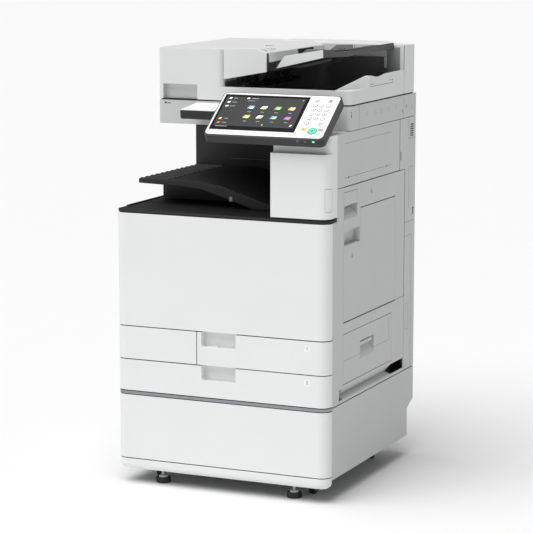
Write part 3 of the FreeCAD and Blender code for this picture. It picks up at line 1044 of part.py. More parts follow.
# ---------------------------------------------------------------- inside
def imaging():
    """Toner, drums, transfer belt, laser unit, fixing unit and power supply."""
    start_y = f"{SKIN} + 14"
    supply_y = (f"{REAR} - rear_step - cover_wall - 150", f"{REAR} - rear_step - cover_wall - 8")
    end_y = f"({supply_y[0]} - imaging_gap)"
    length = f"({end_y} - ({start_y}))"
    bottles, drums = [], []
    for station in range(4):
        x = f"{UNIT_LEFT} + {station} * unit_pitch"
        bottle_z = "door_top - 44"
        tube = rod(f"bottle_{station}", "Y", (x, start_y, bottle_z), "bottle_radius", length)
        neck = rod(f"bottle_neck_{station}", "Y", (x, f"{end_y} - 1", bottle_z),
                   "bottle_radius * 0.5", "26")
        bottles.append(join(f"toner_bottle_{station}", [tube, neck]))
        drum_z = "door_top - 132"
        case = block(f"drum_case_{station}", (f"{x} - 32", f"{x} + 32"),
                     (start_y, end_y), (f"{drum_z} - 4", f"{drum_z} + 48"))
        drum = rod(f"drum_{station}", "Y", (x, start_y, drum_z), "15", length)
        drums.append(join(f"drum_unit_{station}", [case, drum]))
    keep("toner_bottles", join("toner_bottles", bottles))
    keep("drum_units", join("drum_units", drums))

    belt_z, span_x = "door_top - 166", "3 * unit_pitch + 84"
    low_x = f"{UNIT_LEFT} - 42"
    ends = [rod(f"belt_end_{index}", "Y", (x, start_y, f"{belt_z}"), "16", length)
            for index, x in enumerate((f"{low_x} + 16", f"{low_x} + {span_x} - 16"))]
    loop = block("belt_loop", (f"{low_x} + 16", f"{low_x} + {span_x} - 16"),
                 (start_y, end_y), (f"{belt_z} - 16", f"{belt_z} + 16"))
    keep("transfer_belt_unit", join("transfer_belt_unit", [loop] + ends))

    keep("laser_unit", block("laser_unit", (f"{UNIT_LEFT} - 36", f"{UNIT_LEFT} + 3 * unit_pitch + 36"),
                             (start_y, end_y),
                             ("door_bottom + 6", "door_bottom + 74")))

    fuser_x = f"{COLUMN} + 60"
    rollers = [rod(f"fixing_roller_{index}", "Y", (x, f"{start_y} + 10", "door_top - 60"), "19",
                   f"{length} - 20")
               for index, x in enumerate((f"{fuser_x} - 20", f"{fuser_x} + 20"))]
    cradle = block("fixing_cradle", (f"{fuser_x} - 44", f"{fuser_x} + 44"),
                   (start_y, end_y), ("door_top - 104", "door_top - 72"))
    keep("fixing_unit", join("fixing_unit", rollers + [cradle]))

    keep("power_supply", block("power_supply", (f"{LEFT} + 30", f"{LEFT} + 220"), supply_y,
                               ("door_bottom + 4", "door_bottom + 150")))

    inlet_x, inlet_z = inlet_window(0)
    shell = block("inlet_shell", inlet_x, (f"{REAR} - rear_step - 34", f"{REAR} - rear_step"), inlet_z)
    socket = block("inlet_socket", (f"{inlet_x[0]} + 10", f"{inlet_x[1]} - 10"),
                   (f"{REAR} - rear_step - 20", f"{REAR} - rear_step + 1"),
                   (f"{inlet_z[0]} + 5", f"{inlet_z[1]} - 5"))
    keep("power_inlet", cut("power_inlet", shell, [socket]))

    screws = [rod(f"screw_{index}", "Y", (x, f"{REAR} - 8", z), "screw_radius", "8")
              for index, (x, z) in enumerate(screw_places())]
    keep("cover_screws", join("cover_screws", screws))


# ---------------------------------------------------------------- build
pedestal()
for corner, x, y in caster_places():
    caster(corner, x, y)
main_frame()
side_covers()
output_bay()
front_doors()
right_side_doors()
reader()
document_feeder()
control_panel()
imaging()
doc.recompute()

for item in doc.Objects:
    if "Invalid" in item.State or "Error" in item.State:
        raise RuntimeError(f"{item.Name} failed: {item.State}")

os.makedirs("parts", exist_ok=True)
for name, piece in nodes.items():
    if piece.Shape.isNull() or not piece.Shape.isValid():
        raise RuntimeError(f"{name} has no valid shape")
    piece.Shape.exportStep(f"parts/{name}.step")
    print(f"{name:28s} {len(piece.Shape.Solids):2d} solid(s) {piece.Shape.Volume / 1000:10.1f} cm3")
print(len(nodes), "sub-parts")
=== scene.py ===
# %% [markdown]
# # A floor-standing photocopier
# This lesson dresses a finished CAD model of an office photocopier on its cabinet
# pedestal. The CAD gives every cover, door, drawer and key its true place and size.
# Here each one gets the rounded edges, the fine moulded grain, the printed symbols
# and the small hardware that a plain CAD solid leaves out.

# %% Load the frame
import json
import math

import bmesh
import bpy
from mathutils import Matrix, Vector

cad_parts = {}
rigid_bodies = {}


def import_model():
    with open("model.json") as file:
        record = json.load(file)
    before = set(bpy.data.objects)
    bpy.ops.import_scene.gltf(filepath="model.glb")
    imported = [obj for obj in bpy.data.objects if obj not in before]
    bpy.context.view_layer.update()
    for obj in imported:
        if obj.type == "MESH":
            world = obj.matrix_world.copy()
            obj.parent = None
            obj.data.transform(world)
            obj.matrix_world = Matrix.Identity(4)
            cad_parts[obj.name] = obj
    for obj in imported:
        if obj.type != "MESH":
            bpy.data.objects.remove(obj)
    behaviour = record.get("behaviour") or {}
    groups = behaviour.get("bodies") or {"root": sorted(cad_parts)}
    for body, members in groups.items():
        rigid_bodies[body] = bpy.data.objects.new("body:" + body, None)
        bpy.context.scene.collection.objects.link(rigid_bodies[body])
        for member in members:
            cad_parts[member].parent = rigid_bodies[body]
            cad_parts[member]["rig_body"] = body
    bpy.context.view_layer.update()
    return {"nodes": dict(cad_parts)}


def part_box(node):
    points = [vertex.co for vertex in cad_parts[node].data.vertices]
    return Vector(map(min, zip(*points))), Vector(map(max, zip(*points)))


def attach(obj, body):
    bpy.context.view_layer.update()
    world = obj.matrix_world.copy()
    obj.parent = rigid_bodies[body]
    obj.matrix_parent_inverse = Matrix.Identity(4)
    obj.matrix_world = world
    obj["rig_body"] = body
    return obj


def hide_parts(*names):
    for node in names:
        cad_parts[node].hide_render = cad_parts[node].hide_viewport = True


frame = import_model()
nodes = frame["nodes"]

# %% [markdown]
# The model is in metres, but a copier is easier to think about in millimetres, so
# every size below is written in millimetres and turned to metres by one factor. The
# outer faces that many pieces refer to are read from the boxes of the CAD nodes.
# Colours are written the way a paint or a screen gives them, as sRGB hex, and one
# function turns them into the linear values that a shader wants.

# %% Units and colours
MM = 0.001


def mm(x, y, z):
    """A point or a step given in millimetres."""
    return Vector((x, y, z)) * MM


def low_side(node, axis):
    """Where a CAD node begins along an axis, in millimetres."""
    return round(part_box(node)[0]["xyz".index(axis)] / MM, 1)


def high_side(node, axis):
    """Where a CAD node ends along an axis, in millimetres."""
    return round(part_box(node)[1]["xyz".index(axis)] / MM, 1)


LEFT, RIGHT = low_side("front_door", "x"), high_side("front_door", "x")
FRONT, REAR = low_side("front_door", "y"), high_side("left_cover", "y")
READER_FRONT = low_side("reader_housing", "y")
print("body:", LEFT, "to", RIGHT, "wide,", FRONT, "to", REAR, "deep")


def colour(hex_text, alpha=1.0):
    """An sRGB hex colour as linear RGBA."""
    channels = [int(hex_text[i:i + 2], 16) / 255 for i in (1, 3, 5)]
    linear = [c / 12.92 if c <= 0.04045 else ((c + 0.055) / 1.055) ** 2.4 for c in channels]
    return (*linear, alpha)


# %% [markdown]
# A material is a small graph of nodes. One helper adds a node, sets its options and
# sockets, and links what comes from other nodes, so that each recipe below reads
# like a list of ingredients.

# %% Node helper
def add_node(tree, kind, settings=None, sockets=None, links=None):
    """Add a node; sockets are constant values and links come from other nodes."""
    node = tree.nodes.new(kind)
    for name, value in (settings or {}).items():
        setattr(node, name, value)
    for name, value in (sockets or {}).items():
        node.inputs[name].default_value = value
    for name, source in (links or {}).items():
        tree.links.new(source, node.inputs[name])
    return node


def blank_material(name):
    """A new material with only a Principled shader wired to its output."""
    material = bpy.data.materials.new(name)
    material.use_nodes = True
    tree = material.node_tree
    tree.nodes.clear()
    shader = add_node(tree, "ShaderNodeBsdfPrincipled")
    add_node(tree, "ShaderNodeOutputMaterial", links={"Surface": shader.outputs["BSDF"]})
    return material, tree, shader


# %% [markdown]
# Nearly all of a copier's skin is ABS, injection moulded in steel tools whose faces
# were spark-eroded to a fine grain. The grain hides scratches and finger marks: it
# breaks the reflection into a soft sheen. A fine noise drives a shallow bump for the
# grain and a broad, faint noise shifts the colour by a hair, as real mouldings do.

# %% Moulded plastic
def moulded_plastic(name, hex_text, roughness, grain_mm, depth_mm, shift=0.03, ior=1.53):
    """Grained ABS: grain_mm is the size of one grain, depth_mm how deep it is."""
    material, tree, shader = blank_material(name)
    shader.inputs["IOR"].default_value = ior
    shader.inputs["Roughness"].default_value = roughness
    place = add_node(tree, "ShaderNodeTexCoord").outputs["Object"]
    cloud = add_node(tree, "ShaderNodeTexNoise", sockets={"Scale": 7.0, "Detail": 3.0},
                     links={"Vector": place})
    base = Vector(colour(hex_text)[:3])
    tint = add_node(tree, "ShaderNodeValToRGB", links={"Fac": cloud.outputs["Fac"]})
    tint.color_ramp.elements[0].position = 0.3
    tint.color_ramp.elements[0].color = (*(base * (1 - shift)), 1)
    tint.color_ramp.elements[1].position = 0.7
    tint.color_ramp.elements[1].color = (*[min(c * (1 + shift), 1.0) for c in base], 1)
    tree.links.new(tint.outputs["Color"], shader.inputs["Base Color"])
    grain = add_node(tree, "ShaderNodeTexNoise",
                     sockets={"Scale": 1 / (grain_mm * MM), "Detail": 2.0, "Roughness": 0.6},
                     links={"Vector": place})
    bump = add_node(tree, "ShaderNodeBump", sockets={"Strength": 0.35, "Distance": depth_mm * MM},
                    links={"Height": grain.outputs["Fac"]})
    tree.links.new(bump.outputs["Normal"], shader.inputs["Normal"])
    return material


# Front covers: bright, with a soft highlight that follows each rounded edge. The side covers are greyer,
# partly their own tone and partly painted shade for the side that faces away from the light; the feeder's
# white is a little darker as painted shade for the weaker bounce light high up.
SATIN_WHITE_ABS = moulded_plastic("satin_white_abs", "#E8EAE9", 0.42, 0.9, 0.03, 0.008)
GRAINED_SIDE_ABS = moulded_plastic("grained_side_abs", "#C8CAC9", 0.52, 0.8, 0.06, 0.012)
FEEDER_WHITE_ABS = moulded_plastic("feeder_white_abs", "#DDE0DE", 0.45, 0.8, 0.04, 0.010)
# Trays and guides: dark and dull, so that a sheet of paper stands out on them.
DEEP_GREY_ABS = moulded_plastic("deep_grey_abs", "#4B4B4C", 0.55, 0.8, 0.06, 0.03)
MID_GREY_ABS = moulded_plastic("mid_grey_abs", "#8B8D8C", 0.52, 0.8, 0.05, 0.02)
BLACK_GRAINED_ABS = moulded_plastic("black_grained_abs", "#18181B", 0.55, 0.8, 0.07, 0.05)
TRAY_BLACK_ABS = moulded_plastic("tray_black_abs", "#19191C", 0.55, 0.8, 0.06, 0.05)
# The panel: a dark shell with a dim sheen round a smooth, almost glossy white face.
PANEL_DARK_ABS = moulded_plastic("panel_dark_abs", "#1D1D21", 0.45, 0.7, 0.04, 0.04)
PANEL_WHITE_ABS = moulded_plastic("panel_white_abs", "#F3F4F4", 0.35, 0.7, 0.02, 0.006)
# Gaps, recess lines and hollows: no highlight at all. The black and the grey are painted shade where they
# fill gaps, slots and recess lines, and their own colour where they give black parts, print and unlit
# lamps; the cavity grey is dark grey plastic.
BLACK_AND_PAINTED_SHADE = moulded_plastic("black_and_painted_shade_abs", "#1D1D1E", 0.7, 0.8, 0.02, 0.02)
GREY_AND_PAINTED_SHADE = moulded_plastic("grey_and_painted_shade_abs", "#6E706F", 0.6, 0.8, 0.02, 0.02)
CAVITY_GREY_ABS = moulded_plastic("cavity_grey_abs", "#6E6F6F", 0.6, 0.8, 0.05, 0.02)
# Feet and bottles: nylon is a little waxy, polythene cloudy.
FOOT_BLACK_NYLON = moulded_plastic("foot_black_nylon", "#1B1B1C", 0.55, 0.6, 0.05, 0.06)
TONER_GREY_POLYTHENE = moulded_plastic("toner_grey_polythene", "#57585B", 0.5, 0.9, 0.05, 0.03)
print("plastics:", len(bpy.data.materials))


# %% [markdown]
# The frame inside is zinc-plated sheet steel. It is bright but soft, with the faint
# cloudy spangle that plating leaves, so the metal is rough and its roughness drifts.
# Rubber, foam and silicone use the plastic recipe with a rougher surface, because they
# scatter light in the same way and only their grain and sheen differ.

# %% Plated steel, rubber and foam
def plated_steel(name, hex_text, roughness, cloud_mm):
    """Zinc on steel: cloud_mm is the size of one patch of its spangle."""
    material, tree, shader = blank_material(name)
    shader.inputs["Metallic"].default_value = 1.0
    shader.inputs["Base Color"].default_value = colour(hex_text)
    place = add_node(tree, "ShaderNodeTexCoord").outputs["Object"]
    spangle = add_node(tree, "ShaderNodeTexVoronoi", sockets={"Scale": 1 / (cloud_mm * MM)},
                       links={"Vector": place})
    level = add_node(tree, "ShaderNodeMapRange",
                     sockets={"To Min": roughness - 0.08, "To Max": roughness + 0.08},
                     links={"Value": spangle.outputs["Distance"]})
    tree.links.new(level.outputs["Result"], shader.inputs["Roughness"])
    return material


ZINC_PLATED_STEEL = plated_steel("zinc_plated_steel", "#9FA2A4", 0.42, 14)
CASTER_STEEL = plated_steel("caster_steel", "#8C8F92", 0.38, 6)
SCREW_STEEL = plated_steel("screw_steel", "#B9BBBD", 0.3, 3)
CASTER_RUBBER = moulded_plastic("caster_rubber", "#161616", 0.75, 0.6, 0.06, 0.08, 1.5)
ROLLER_RUBBER = moulded_plastic("roller_rubber", "#1F1F20", 0.8, 0.5, 0.08, 0.08, 1.5)
PAD_FOAM = moulded_plastic("pad_foam", "#F4F4F2", 0.85, 1.6, 0.2, 0.01, 1.45)
KEY_SILICONE = moulded_plastic("key_silicone", "#F1F2F2", 0.5, 0.6, 0.02, 0.01, 1.41)
print("plastics, metals and rubbers:", len(bpy.data.materials))

# %% [markdown]
# The platen is float glass: polished by gravity on molten tin, so it is smooth, with
# the faint green cast of iron. It lets most light through and shows the dark reader
# below, with a sharp reflection on top.

# %% Platen glass
def clear_glass(name, hex_text):
    """Float glass: smooth, with a faint green cast, thin enough to see through."""
    material, tree, shader = blank_material(name)
    shader.inputs["IOR"].default_value = 1.52
    shader.inputs["Roughness"].default_value = 0.03
    shader.inputs["Transmission Weight"].default_value = 0.9
    place = add_node(tree, "ShaderNodeTexCoord").outputs["Object"]
    haze = add_node(tree, "ShaderNodeTexNoise", sockets={"Scale": 12.0}, links={"Vector": place})
    tint = add_node(tree, "ShaderNodeValToRGB", links={"Fac": haze.outputs["Fac"]})
    base = colour(hex_text)
    tint.color_ramp.elements[0].color = base
    tint.color_ramp.elements[1].color = (*[min(c * 1.03, 1.0) for c in base[:3]], 1)
    tree.links.new(tint.outputs["Color"], shader.inputs["Base Color"])
    return material


PLATEN_GLASS = clear_glass("platen_glass", "#D9E6E0")
print("materials:", len(bpy.data.materials))


# %% [markdown]
# Pieces are made in bmesh, Blender's own mesh workbench. Three helpers start a brick,
# a disc or an outline pushed along a line, all measured in millimetres. Nearly every
# small piece below begins as one of these.

# %% Starting shapes
def brick(bm, low, high):
    """A rectangular block between two corners in millimetres."""
    made = bmesh.ops.create_cube(bm, size=1.0)["verts"]
    size = Vector(high) - Vector(low)
    bmesh.ops.scale(bm, vec=size * MM, verts=made)
    bmesh.ops.translate(bm, vec=(Vector(high) + Vector(low)) / 2 * MM, verts=made)
    return made


TURN_TO = {"X": Matrix.Rotation(math.pi / 2, 3, "Y"), "Y": Matrix.Rotation(math.pi / 2, 3, "X"),
           "Z": Matrix.Identity(3)}


def disc(bm, centre, radius, depth, axis="Z", segments=40, taper=0.0):
    """A short cylinder centred on a point, in millimetres."""
    made = bmesh.ops.create_cone(bm, cap_ends=True, cap_tris=False, segments=segments,
                                 radius1=radius * MM, radius2=(radius - taper) * MM,
                                 depth=depth * MM)["verts"]
    bmesh.ops.rotate(bm, cent=(0, 0, 0), matrix=TURN_TO[axis], verts=made)
    bmesh.ops.translate(bm, vec=mm(*centre), verts=made)
    return made


def slab(bm, corners, push):
    """Extrude a flat outline of 3-D corners (mm) by a push vector (mm)."""
    face = bm.faces.new([bm.verts.new(mm(*corner)) for corner in corners])
    grown = bmesh.ops.extrude_face_region(bm, geom=[face])["geom"]
    made = [item for item in grown if isinstance(item, bmesh.types.BMVert)]
    bmesh.ops.translate(bm, vec=mm(*push), verts=made)
    bmesh.ops.recalc_face_normals(bm, faces=bm.faces)
    return made


sample = bmesh.new()
brick(sample, (0, 0, 0), (10, 20, 30))
print("a brick of 10 x 20 x 30 mm holds", round(sample.calc_volume() / MM ** 3), "cubic mm")
sample.free()

# %% [markdown]
# Two more helpers work on a shape that is already there. One rounds its sharp edges
# with a bevel. The other cuts a shape out of another with an exact boolean, which
# keeps the result closed; it borrows two objects for a moment and removes them again.

# %% Rounding and cutting
JOIN_WITHIN = 0.02 * MM
SHARP = math.radians(28)


def soften_edges(bm, width, segments=3, limit=SHARP):
    """Bevel every edge that turns more sharply than an angle."""
    edges = [edge for edge in bm.edges
             if len(edge.link_faces) == 2 and edge.calc_face_angle(0.0) > limit]
    if edges:
        bmesh.ops.bevel(bm, geom=edges, offset=width * MM, segments=segments, profile=0.5,
                        affect="EDGES", material=-1, clamp_overlap=True)


def cut_through(bm, cutter):
    """Cut one closed bmesh out of another with an exact boolean; both are used up."""
    holders = []
    for label, source in (("blank", bm), ("cutter", cutter)):
        bmesh.ops.recalc_face_normals(source, faces=source.faces)
        mesh = bpy.data.meshes.new(label)
        source.to_mesh(mesh)
        source.free()
        holder = bpy.data.objects.new(label, mesh)
        bpy.context.scene.collection.objects.link(holder)
        holders.append(holder)
    blank, tool = holders
    boolean = blank.modifiers.new("cut", "BOOLEAN")
    boolean.operation, boolean.solver, boolean.object = "DIFFERENCE", "EXACT", tool
    bpy.context.view_layer.update()
    solved = blank.evaluated_get(bpy.context.evaluated_depsgraph_get())
    result = bmesh.new()
    result.from_mesh(solved.to_mesh())
    for holder in holders:
        mesh = holder.data
        bpy.data.objects.remove(holder)
        bpy.data.meshes.remove(mesh)
    bmesh.ops.remove_doubles(result, verts=result.verts, dist=JOIN_WITHIN)
    bmesh.ops.dissolve_limit(result, angle_limit=math.radians(0.5), verts=result.verts,
                             edges=result.edges)
    return result


print("edges sharper than", round(math.degrees(SHARP)), "degrees are rounded")

# %% [markdown]
# One finisher turns a bmesh into an object at the origin, with smooth shading that stays crisp on real
# corners, and lets it ride on the body that it moves with. Where a piece takes over from a CAD node, that
# node is hidden.

# %% Finishing a piece
CREASE = math.radians(34)


def piece(name, bm, body, material, stands_for=()):
    """Make a finished object of a bmesh, riding on a body."""
    mesh = bpy.data.meshes.new(name)
    bm.to_mesh(mesh)
    bm.free()
    mesh.shade_smooth()
    mesh.set_sharp_from_angle(angle=CREASE)
    mesh.materials.append(material)
    item = bpy.data.objects.new(name, mesh)
    bpy.context.scene.collection.objects.link(item)
    even = item.modifiers.new("even_normals", "WEIGHTED_NORMAL")
    even.keep_sharp = True
    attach(item, body)
    if stands_for:
        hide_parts(*stands_for)
    return item


def bricks(name, body, material, boxes, width=0.0):
    """Several small blocks, each from its low and high corner, as one piece."""
    bm = bmesh.new()
    for low, high in boxes:
        brick(bm, low, high)
    if width:
        soften_edges(bm, width, 2)
    return piece(name, bm, body, material)


print("corners flatter than", round(math.degrees(CREASE)), "degrees are shaded smooth")

# %% [markdown]
# A moulded cover never has a knife edge: the tool's corners are rounded by half a
# millimetre or more, and those edges are what catch the light along every seam. So
# most CAD covers are copied, their loose triangles merged into whole faces, and
# every sharp edge is given a small round. The copy then stands for the CAD piece.

# %% Copies of the CAD covers
def merged_copy(node):
    """A CAD node's mesh as a bmesh of whole, joined faces."""
    bm = bmesh.new()
    bm.from_mesh(nodes[node].data)
    bmesh.ops.remove_doubles(bm, verts=bm.verts, dist=JOIN_WITHIN)
    bmesh.ops.dissolve_limit(bm, angle_limit=math.radians(0.6), verts=bm.verts, edges=bm.edges)
    return bm


def round_where(bm, chosen, width, segments=5):
    """Round only the edges that a test on their two ends, in millimetres, picks."""
    edges = [edge for edge in bm.edges if edge.calc_face_angle(0.0) > SHARP
             and chosen(edge.verts[0].co / MM, edge.verts[1].co / MM)]
    bmesh.ops.bevel(bm, geom=edges, offset=width * MM, segments=segments, profile=0.5,
                    affect="EDGES", material=-1, clamp_overlap=True)


print("nodes that can be copied:", len(nodes))

# %% [markdown]
# Some mouldings have one edge much rounder than the rest: where fingers go in, where a
# foot might knock, or where the tool needed it. Each gets a small function that picks
# those edges by where they lie, before the general rounding.

# %% Covers with one rounder edge
GRIP = (-54.0, 46.0)
GRIP_HEIGHT, GRIP_DEPTH = 40, 22
FEEDER_STEP, RIM_TOP = -58, 1077


def near(value, target, margin=0.2):
    """Whether two measures in millimetres agree."""
    return abs(value - target) < margin


def shelf_rounding(bm):
    """The side shelf's lower left edge and its front left corner are rounded."""
    side, front = low_side("side_shelf", "x"), low_side("side_shelf", "y")
    under = low_side("side_shelf", "z") + 5.5
    round_where(bm, lambda a, b: near(a.x, side) and near(b.x, side)
                and (max(a.z, b.z) < under or abs(a.z - b.z) > 15 and max(a.y, b.y) < front + 0.8), 8)


def grip_corners(bm):
    """The finger recess of a cassette has two rounded lower corners."""
    floors = [high_side(node, "z") - GRIP_HEIGHT for node in ("upper_cassette", "lower_cassette")]
    round_where(bm, lambda a, b: near(a.x, b.x, 0.1) and near(a.z, b.z, 0.1)
                and any(near(a.z, floor, 0.6) for floor in floors)
                and any(near(a.x, end, 0.6) for end in GRIP)
                and max(a.y, b.y) < FRONT + GRIP_DEPTH + 2 and abs(a.y - b.y) > 15, 8)


def kick_rounding(bm):
    """The kick strip curls under the cabinet with a wide round."""
    base, back = low_side("pedestal_kick_strip", "z"), high_side("pedestal_kick_strip", "y")
    round_where(bm, lambda a, b: near(a.z, base, 0.1) and near(b.z, base, 0.1)
                and min(a.y, b.y) < back - 0.7, 17, 7)


def feeder_rounding(bm):
    """The feeder's tall left block is rounder than the rest of it."""
    top = high_side("feeder_body", "z")
    round_where(bm, lambda a, b: near(a.y, READER_FRONT) and near(b.y, READER_FRONT)
                and max(a.z, b.z) > RIM_TOP + 0.5
                and ((near(a.x, FEEDER_STEP, 0.3) and near(b.x, FEEDER_STEP, 0.3))
                     or min(a.z, b.z) > top - 0.5), 6)


SHAPES = {
    "upper_cassette": grip_corners, "lower_cassette": grip_corners,
    "pedestal_kick_strip": kick_rounding, "side_shelf": shelf_rounding,
    "feeder_body": feeder_rounding,
}
print("covers with a rounder edge:", len(SHAPES))

# %% [markdown]
# Now every cover is made in one loop, from a table of its plastic and the width of its round. A tray's
# upper face lies in shade under the reader, so the faces that look up get a darker black of their own:
# painted shade.

# %% Covers with moulded edges
LOOKS_UP = 0.7


def cover(node, material, width=1.2, segments=3, shape=None, top_shade=None):
    """A CAD cover with rounded edges; shape may work on the bmesh first, and the faces that look up may
    take a darker material of their own as painted shade."""
    bm = merged_copy(node)
    if shape:
        shape(bm)
    soften_edges(bm, width, segments)
    if top_shade:
        bm.normal_update()
        for face in bm.faces:
            face.material_index = int(face.normal.z > LOOKS_UP)
    made = piece(f"{node}_moulding", bm, nodes[node]["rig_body"], material, [node])
    if top_shade:
        made.data.materials.append(top_shade)
    return made


COVERS = {
    "pedestal_cover": (GRAINED_SIDE_ABS, 1.5), "pedestal_front_panel": (SATIN_WHITE_ABS, 1.2),
    "pedestal_kick_strip": (SATIN_WHITE_ABS, 1.0), "left_cover": (GRAINED_SIDE_ABS, 1.0),
    "rear_cover": (GRAINED_SIDE_ABS, 0.6), "right_frame_cover": (GRAINED_SIDE_ABS, 0.8),
    "right_upper_cover": (GRAINED_SIDE_ABS, 0.9), "output_tray": (BLACK_GRAINED_ABS, 1.5),
    "upper_output_tray": (TRAY_BLACK_ABS, 1.5), "output_bay_wall": (BLACK_GRAINED_ABS, 0.8),
    "column_cover": (SATIN_WHITE_ABS, 1.0), "power_switch_flap": (SATIN_WHITE_ABS, 0.5),
    "front_door": (SATIN_WHITE_ABS, 1.2), "waste_toner_door": (SATIN_WHITE_ABS, 1.1),
    "upper_cassette": (SATIN_WHITE_ABS, 1.0), "lower_cassette": (SATIN_WHITE_ABS, 1.0),
    "right_door": (GRAINED_SIDE_ABS, 1.2), "right_door_lever": (GRAINED_SIDE_ABS, 1.2),
    "bypass_tray": (GRAINED_SIDE_ABS, 1.0), "lower_right_door": (GRAINED_SIDE_ABS, 1.2),
    "reader_housing": (GRAINED_SIDE_ABS, 1.5), "scan_carriage": (BLACK_GRAINED_ABS, 0.8),
    "feeder_body": (FEEDER_WHITE_ABS, 2.0), "feeder_cover": (FEEDER_WHITE_ABS, 2.0),
    "document_tray": (DEEP_GREY_ABS, 1.5), "document_guide_front": (MID_GREY_ABS, 0.8),
    "document_guide_rear": (MID_GREY_ABS, 0.8), "feed_roller": (ROLLER_RUBBER, 0.8),
    "platen_pad": (PAD_FOAM, 1.0), "control_panel": (PANEL_DARK_ABS, 1.2),
    "side_shelf": (PANEL_DARK_ABS, 2.0), "number_keypad": (KEY_SILICONE, 0.5),
}
# The faces of the output trays that look up get this darker black as painted shade, for the shade under the
# reader.
SHADED_TOP_BLACK_ABS = moulded_plastic("painted_shade_top_black_abs", "#0C0C0E", 0.62, 0.8, 0.06, 0.05, 1.4)
PAINTED_SHADE_TOPS = {"upper_output_tray": SHADED_TOP_BLACK_ABS, "output_tray": SHADED_TOP_BLACK_ABS}
for node, (material, width) in COVERS.items():
    cover(node, material, width, shape=SHAPES.get(node), top_shade=PAINTED_SHADE_TOPS.get(node))
print("covers rounded:", len(COVERS))

# %% [markdown]
# Folded sheet metal, glass, screws and forks are already right in the CAD. Their meshes
# stay as they are and only get a material.

# %% CAD pieces with a new finish only
PLAIN = {
    "main_frame": ZINC_PLATED_STEEL, "pedestal_frame": ZINC_PLATED_STEEL,
    "platen_glass": PLATEN_GLASS, "cover_screws": SCREW_STEEL, "power_inlet": BLACK_GRAINED_ABS,
}
CASTERS = ("front_left", "front_right", "rear_left", "rear_right")
for corner in CASTERS:
    PLAIN[f"caster_fork_{corner}"] = CASTER_STEEL
for node, material in PLAIN.items():
    mesh = nodes[node].data
    mesh.materials.clear()
    mesh.materials.append(material)
print("CAD pieces kept plain:", len(PLAIN))

# %% [markdown]
# Between two doors the eye sees one dark line, because the gap is narrow and what lies behind it is black.
# A gap between white solids glows instead, so a thin black strip is set a few millimetres back in each seam
# of the front, rounded like the doors: painted shade for the dark of the gap.

# %% Black strips inside the seams
SEAM = 2.5
SEAM_BACK = FRONT + 31


def seam_shade_strip(name, low, high, spans=((LEFT, RIGHT),)):
    """A black strip of painted shade in a horizontal seam, in one or more stretches of X."""
    face_y = FRONT + SEAM
    bm = bmesh.new()
    for left, right in spans:
        brick(bm, (max(left, LEFT + SEAM), face_y, low + 0.15),
              (min(right, RIGHT - SEAM), SEAM_BACK, high - 0.15))
    round_where(bm, lambda a, b: near(a.x, b.x, 0.1) and near(a.y, b.y, 0.1)
                and near(a.y, face_y, 0.1) and abs(a.x) > RIGHT - 3, 25.5, 8)
    return piece(name, bm, "chassis", BLACK_AND_PAINTED_SHADE)


around_grip = ((LEFT, GRIP[0] - 2), (GRIP[1] + 2, RIGHT))
upper_top, upper_base = high_side("upper_cassette", "z"), low_side("upper_cassette", "z")
lower_top, lower_base = high_side("lower_cassette", "z"), low_side("lower_cassette", "z")
pedestal_top = high_side("pedestal_front_panel", "z")
pedestal_base = low_side("pedestal_front_panel", "z")
seam_shade_strip("seam_under_front_door", upper_top, upper_top + SEAM, around_grip)
seam_shade_strip("seam_between_cassettes", lower_top, lower_top + SEAM, around_grip)
seam_shade_strip("seam_under_cassettes", lower_base - SEAM, lower_base)
seam_shade_strip("seam_above_pedestal", pedestal_top, pedestal_top + SEAM)
seam_shade_strip("seam_above_kick_strip", pedestal_base - SEAM, pedestal_base)
seam_shade_strip("seam_above_front_door", high_side("front_door", "z"), low_side("output_tray", "z"))
print("front seams filled:", 6)

# %% [markdown]
# Four more gaps need painted shade in them, as black blocks: beside the upper cassette, under the white
# column, round the top of the pedestal, and between the reader and the feeder, where the shade is a frame
# of four bars.

# %% Other dark gaps
door_edge, column_base = high_side("waste_toner_door", "x"), low_side("column_cover", "z")
reader_top, feeder_base = high_side("reader_housing", "z"), low_side("feeder_body", "z")
bricks("seam_beside_upper_cassette", "chassis", BLACK_AND_PAINTED_SHADE,
       [((door_edge + 0.4, FRONT + SEAM, upper_base + 0.3), (door_edge + 2.1, SEAM_BACK, upper_top - 0.3))])
bricks("seam_under_column", "chassis", BLACK_AND_PAINTED_SHADE,
       [((150, FRONT + 5, column_base - 3.9), (285, FRONT + 50, column_base - 0.1))])
bricks("seam_round_pedestal", "chassis", BLACK_AND_PAINTED_SHADE,
       [((LEFT + SEAM, FRONT + 36, 254.1), (RIGHT - 2.0, REAR - 3, 256.4))])
# The four bars are black painted shade in the gap under the feeder.
gap_shade_bars = (((-249, -137), (-196, 318)), ((262, -137), (308, 318)),
               ((-238, -149.4), (296, -118)), ((-196, 216), (262, 318)))
bricks("feeder_gap_shade", "chassis", BLACK_AND_PAINTED_SHADE,
       [((x0, y0, reader_top + 0.1), (x1, y1, feeder_base - 0.2)) for (x0, y0), (x1, y1) in gap_shade_bars])
print("gasket bars:", len(gap_shade_bars))

# %% [markdown]
# The right side of a copier is covered in small things: seams where one moulding ends
# and the next begins, caps over screw holes, latch slots, two small pictograms. Each is
# a thin inlay pressed into the skin, a tenth of a millimetre proud, in the grey of a
# recess in shade.

# %% Inlays on the right side
PROUD, SUNK = 0.12, 1.2
READER_BASE, READER_LID = low_side("reader_housing", "z") + 0.5, high_side("reader_housing", "z") - 0.5


def right_inlays(name, body, material, areas, skin=RIGHT):
    """Thin blocks in the right face, each from (y, z) to (y, z) in millimetres."""
    return bricks(name, body, material,
                  [((skin - SUNK, y0, z0), (skin + PROUD, y1, z1)) for y0, z0, y1, z1 in areas])


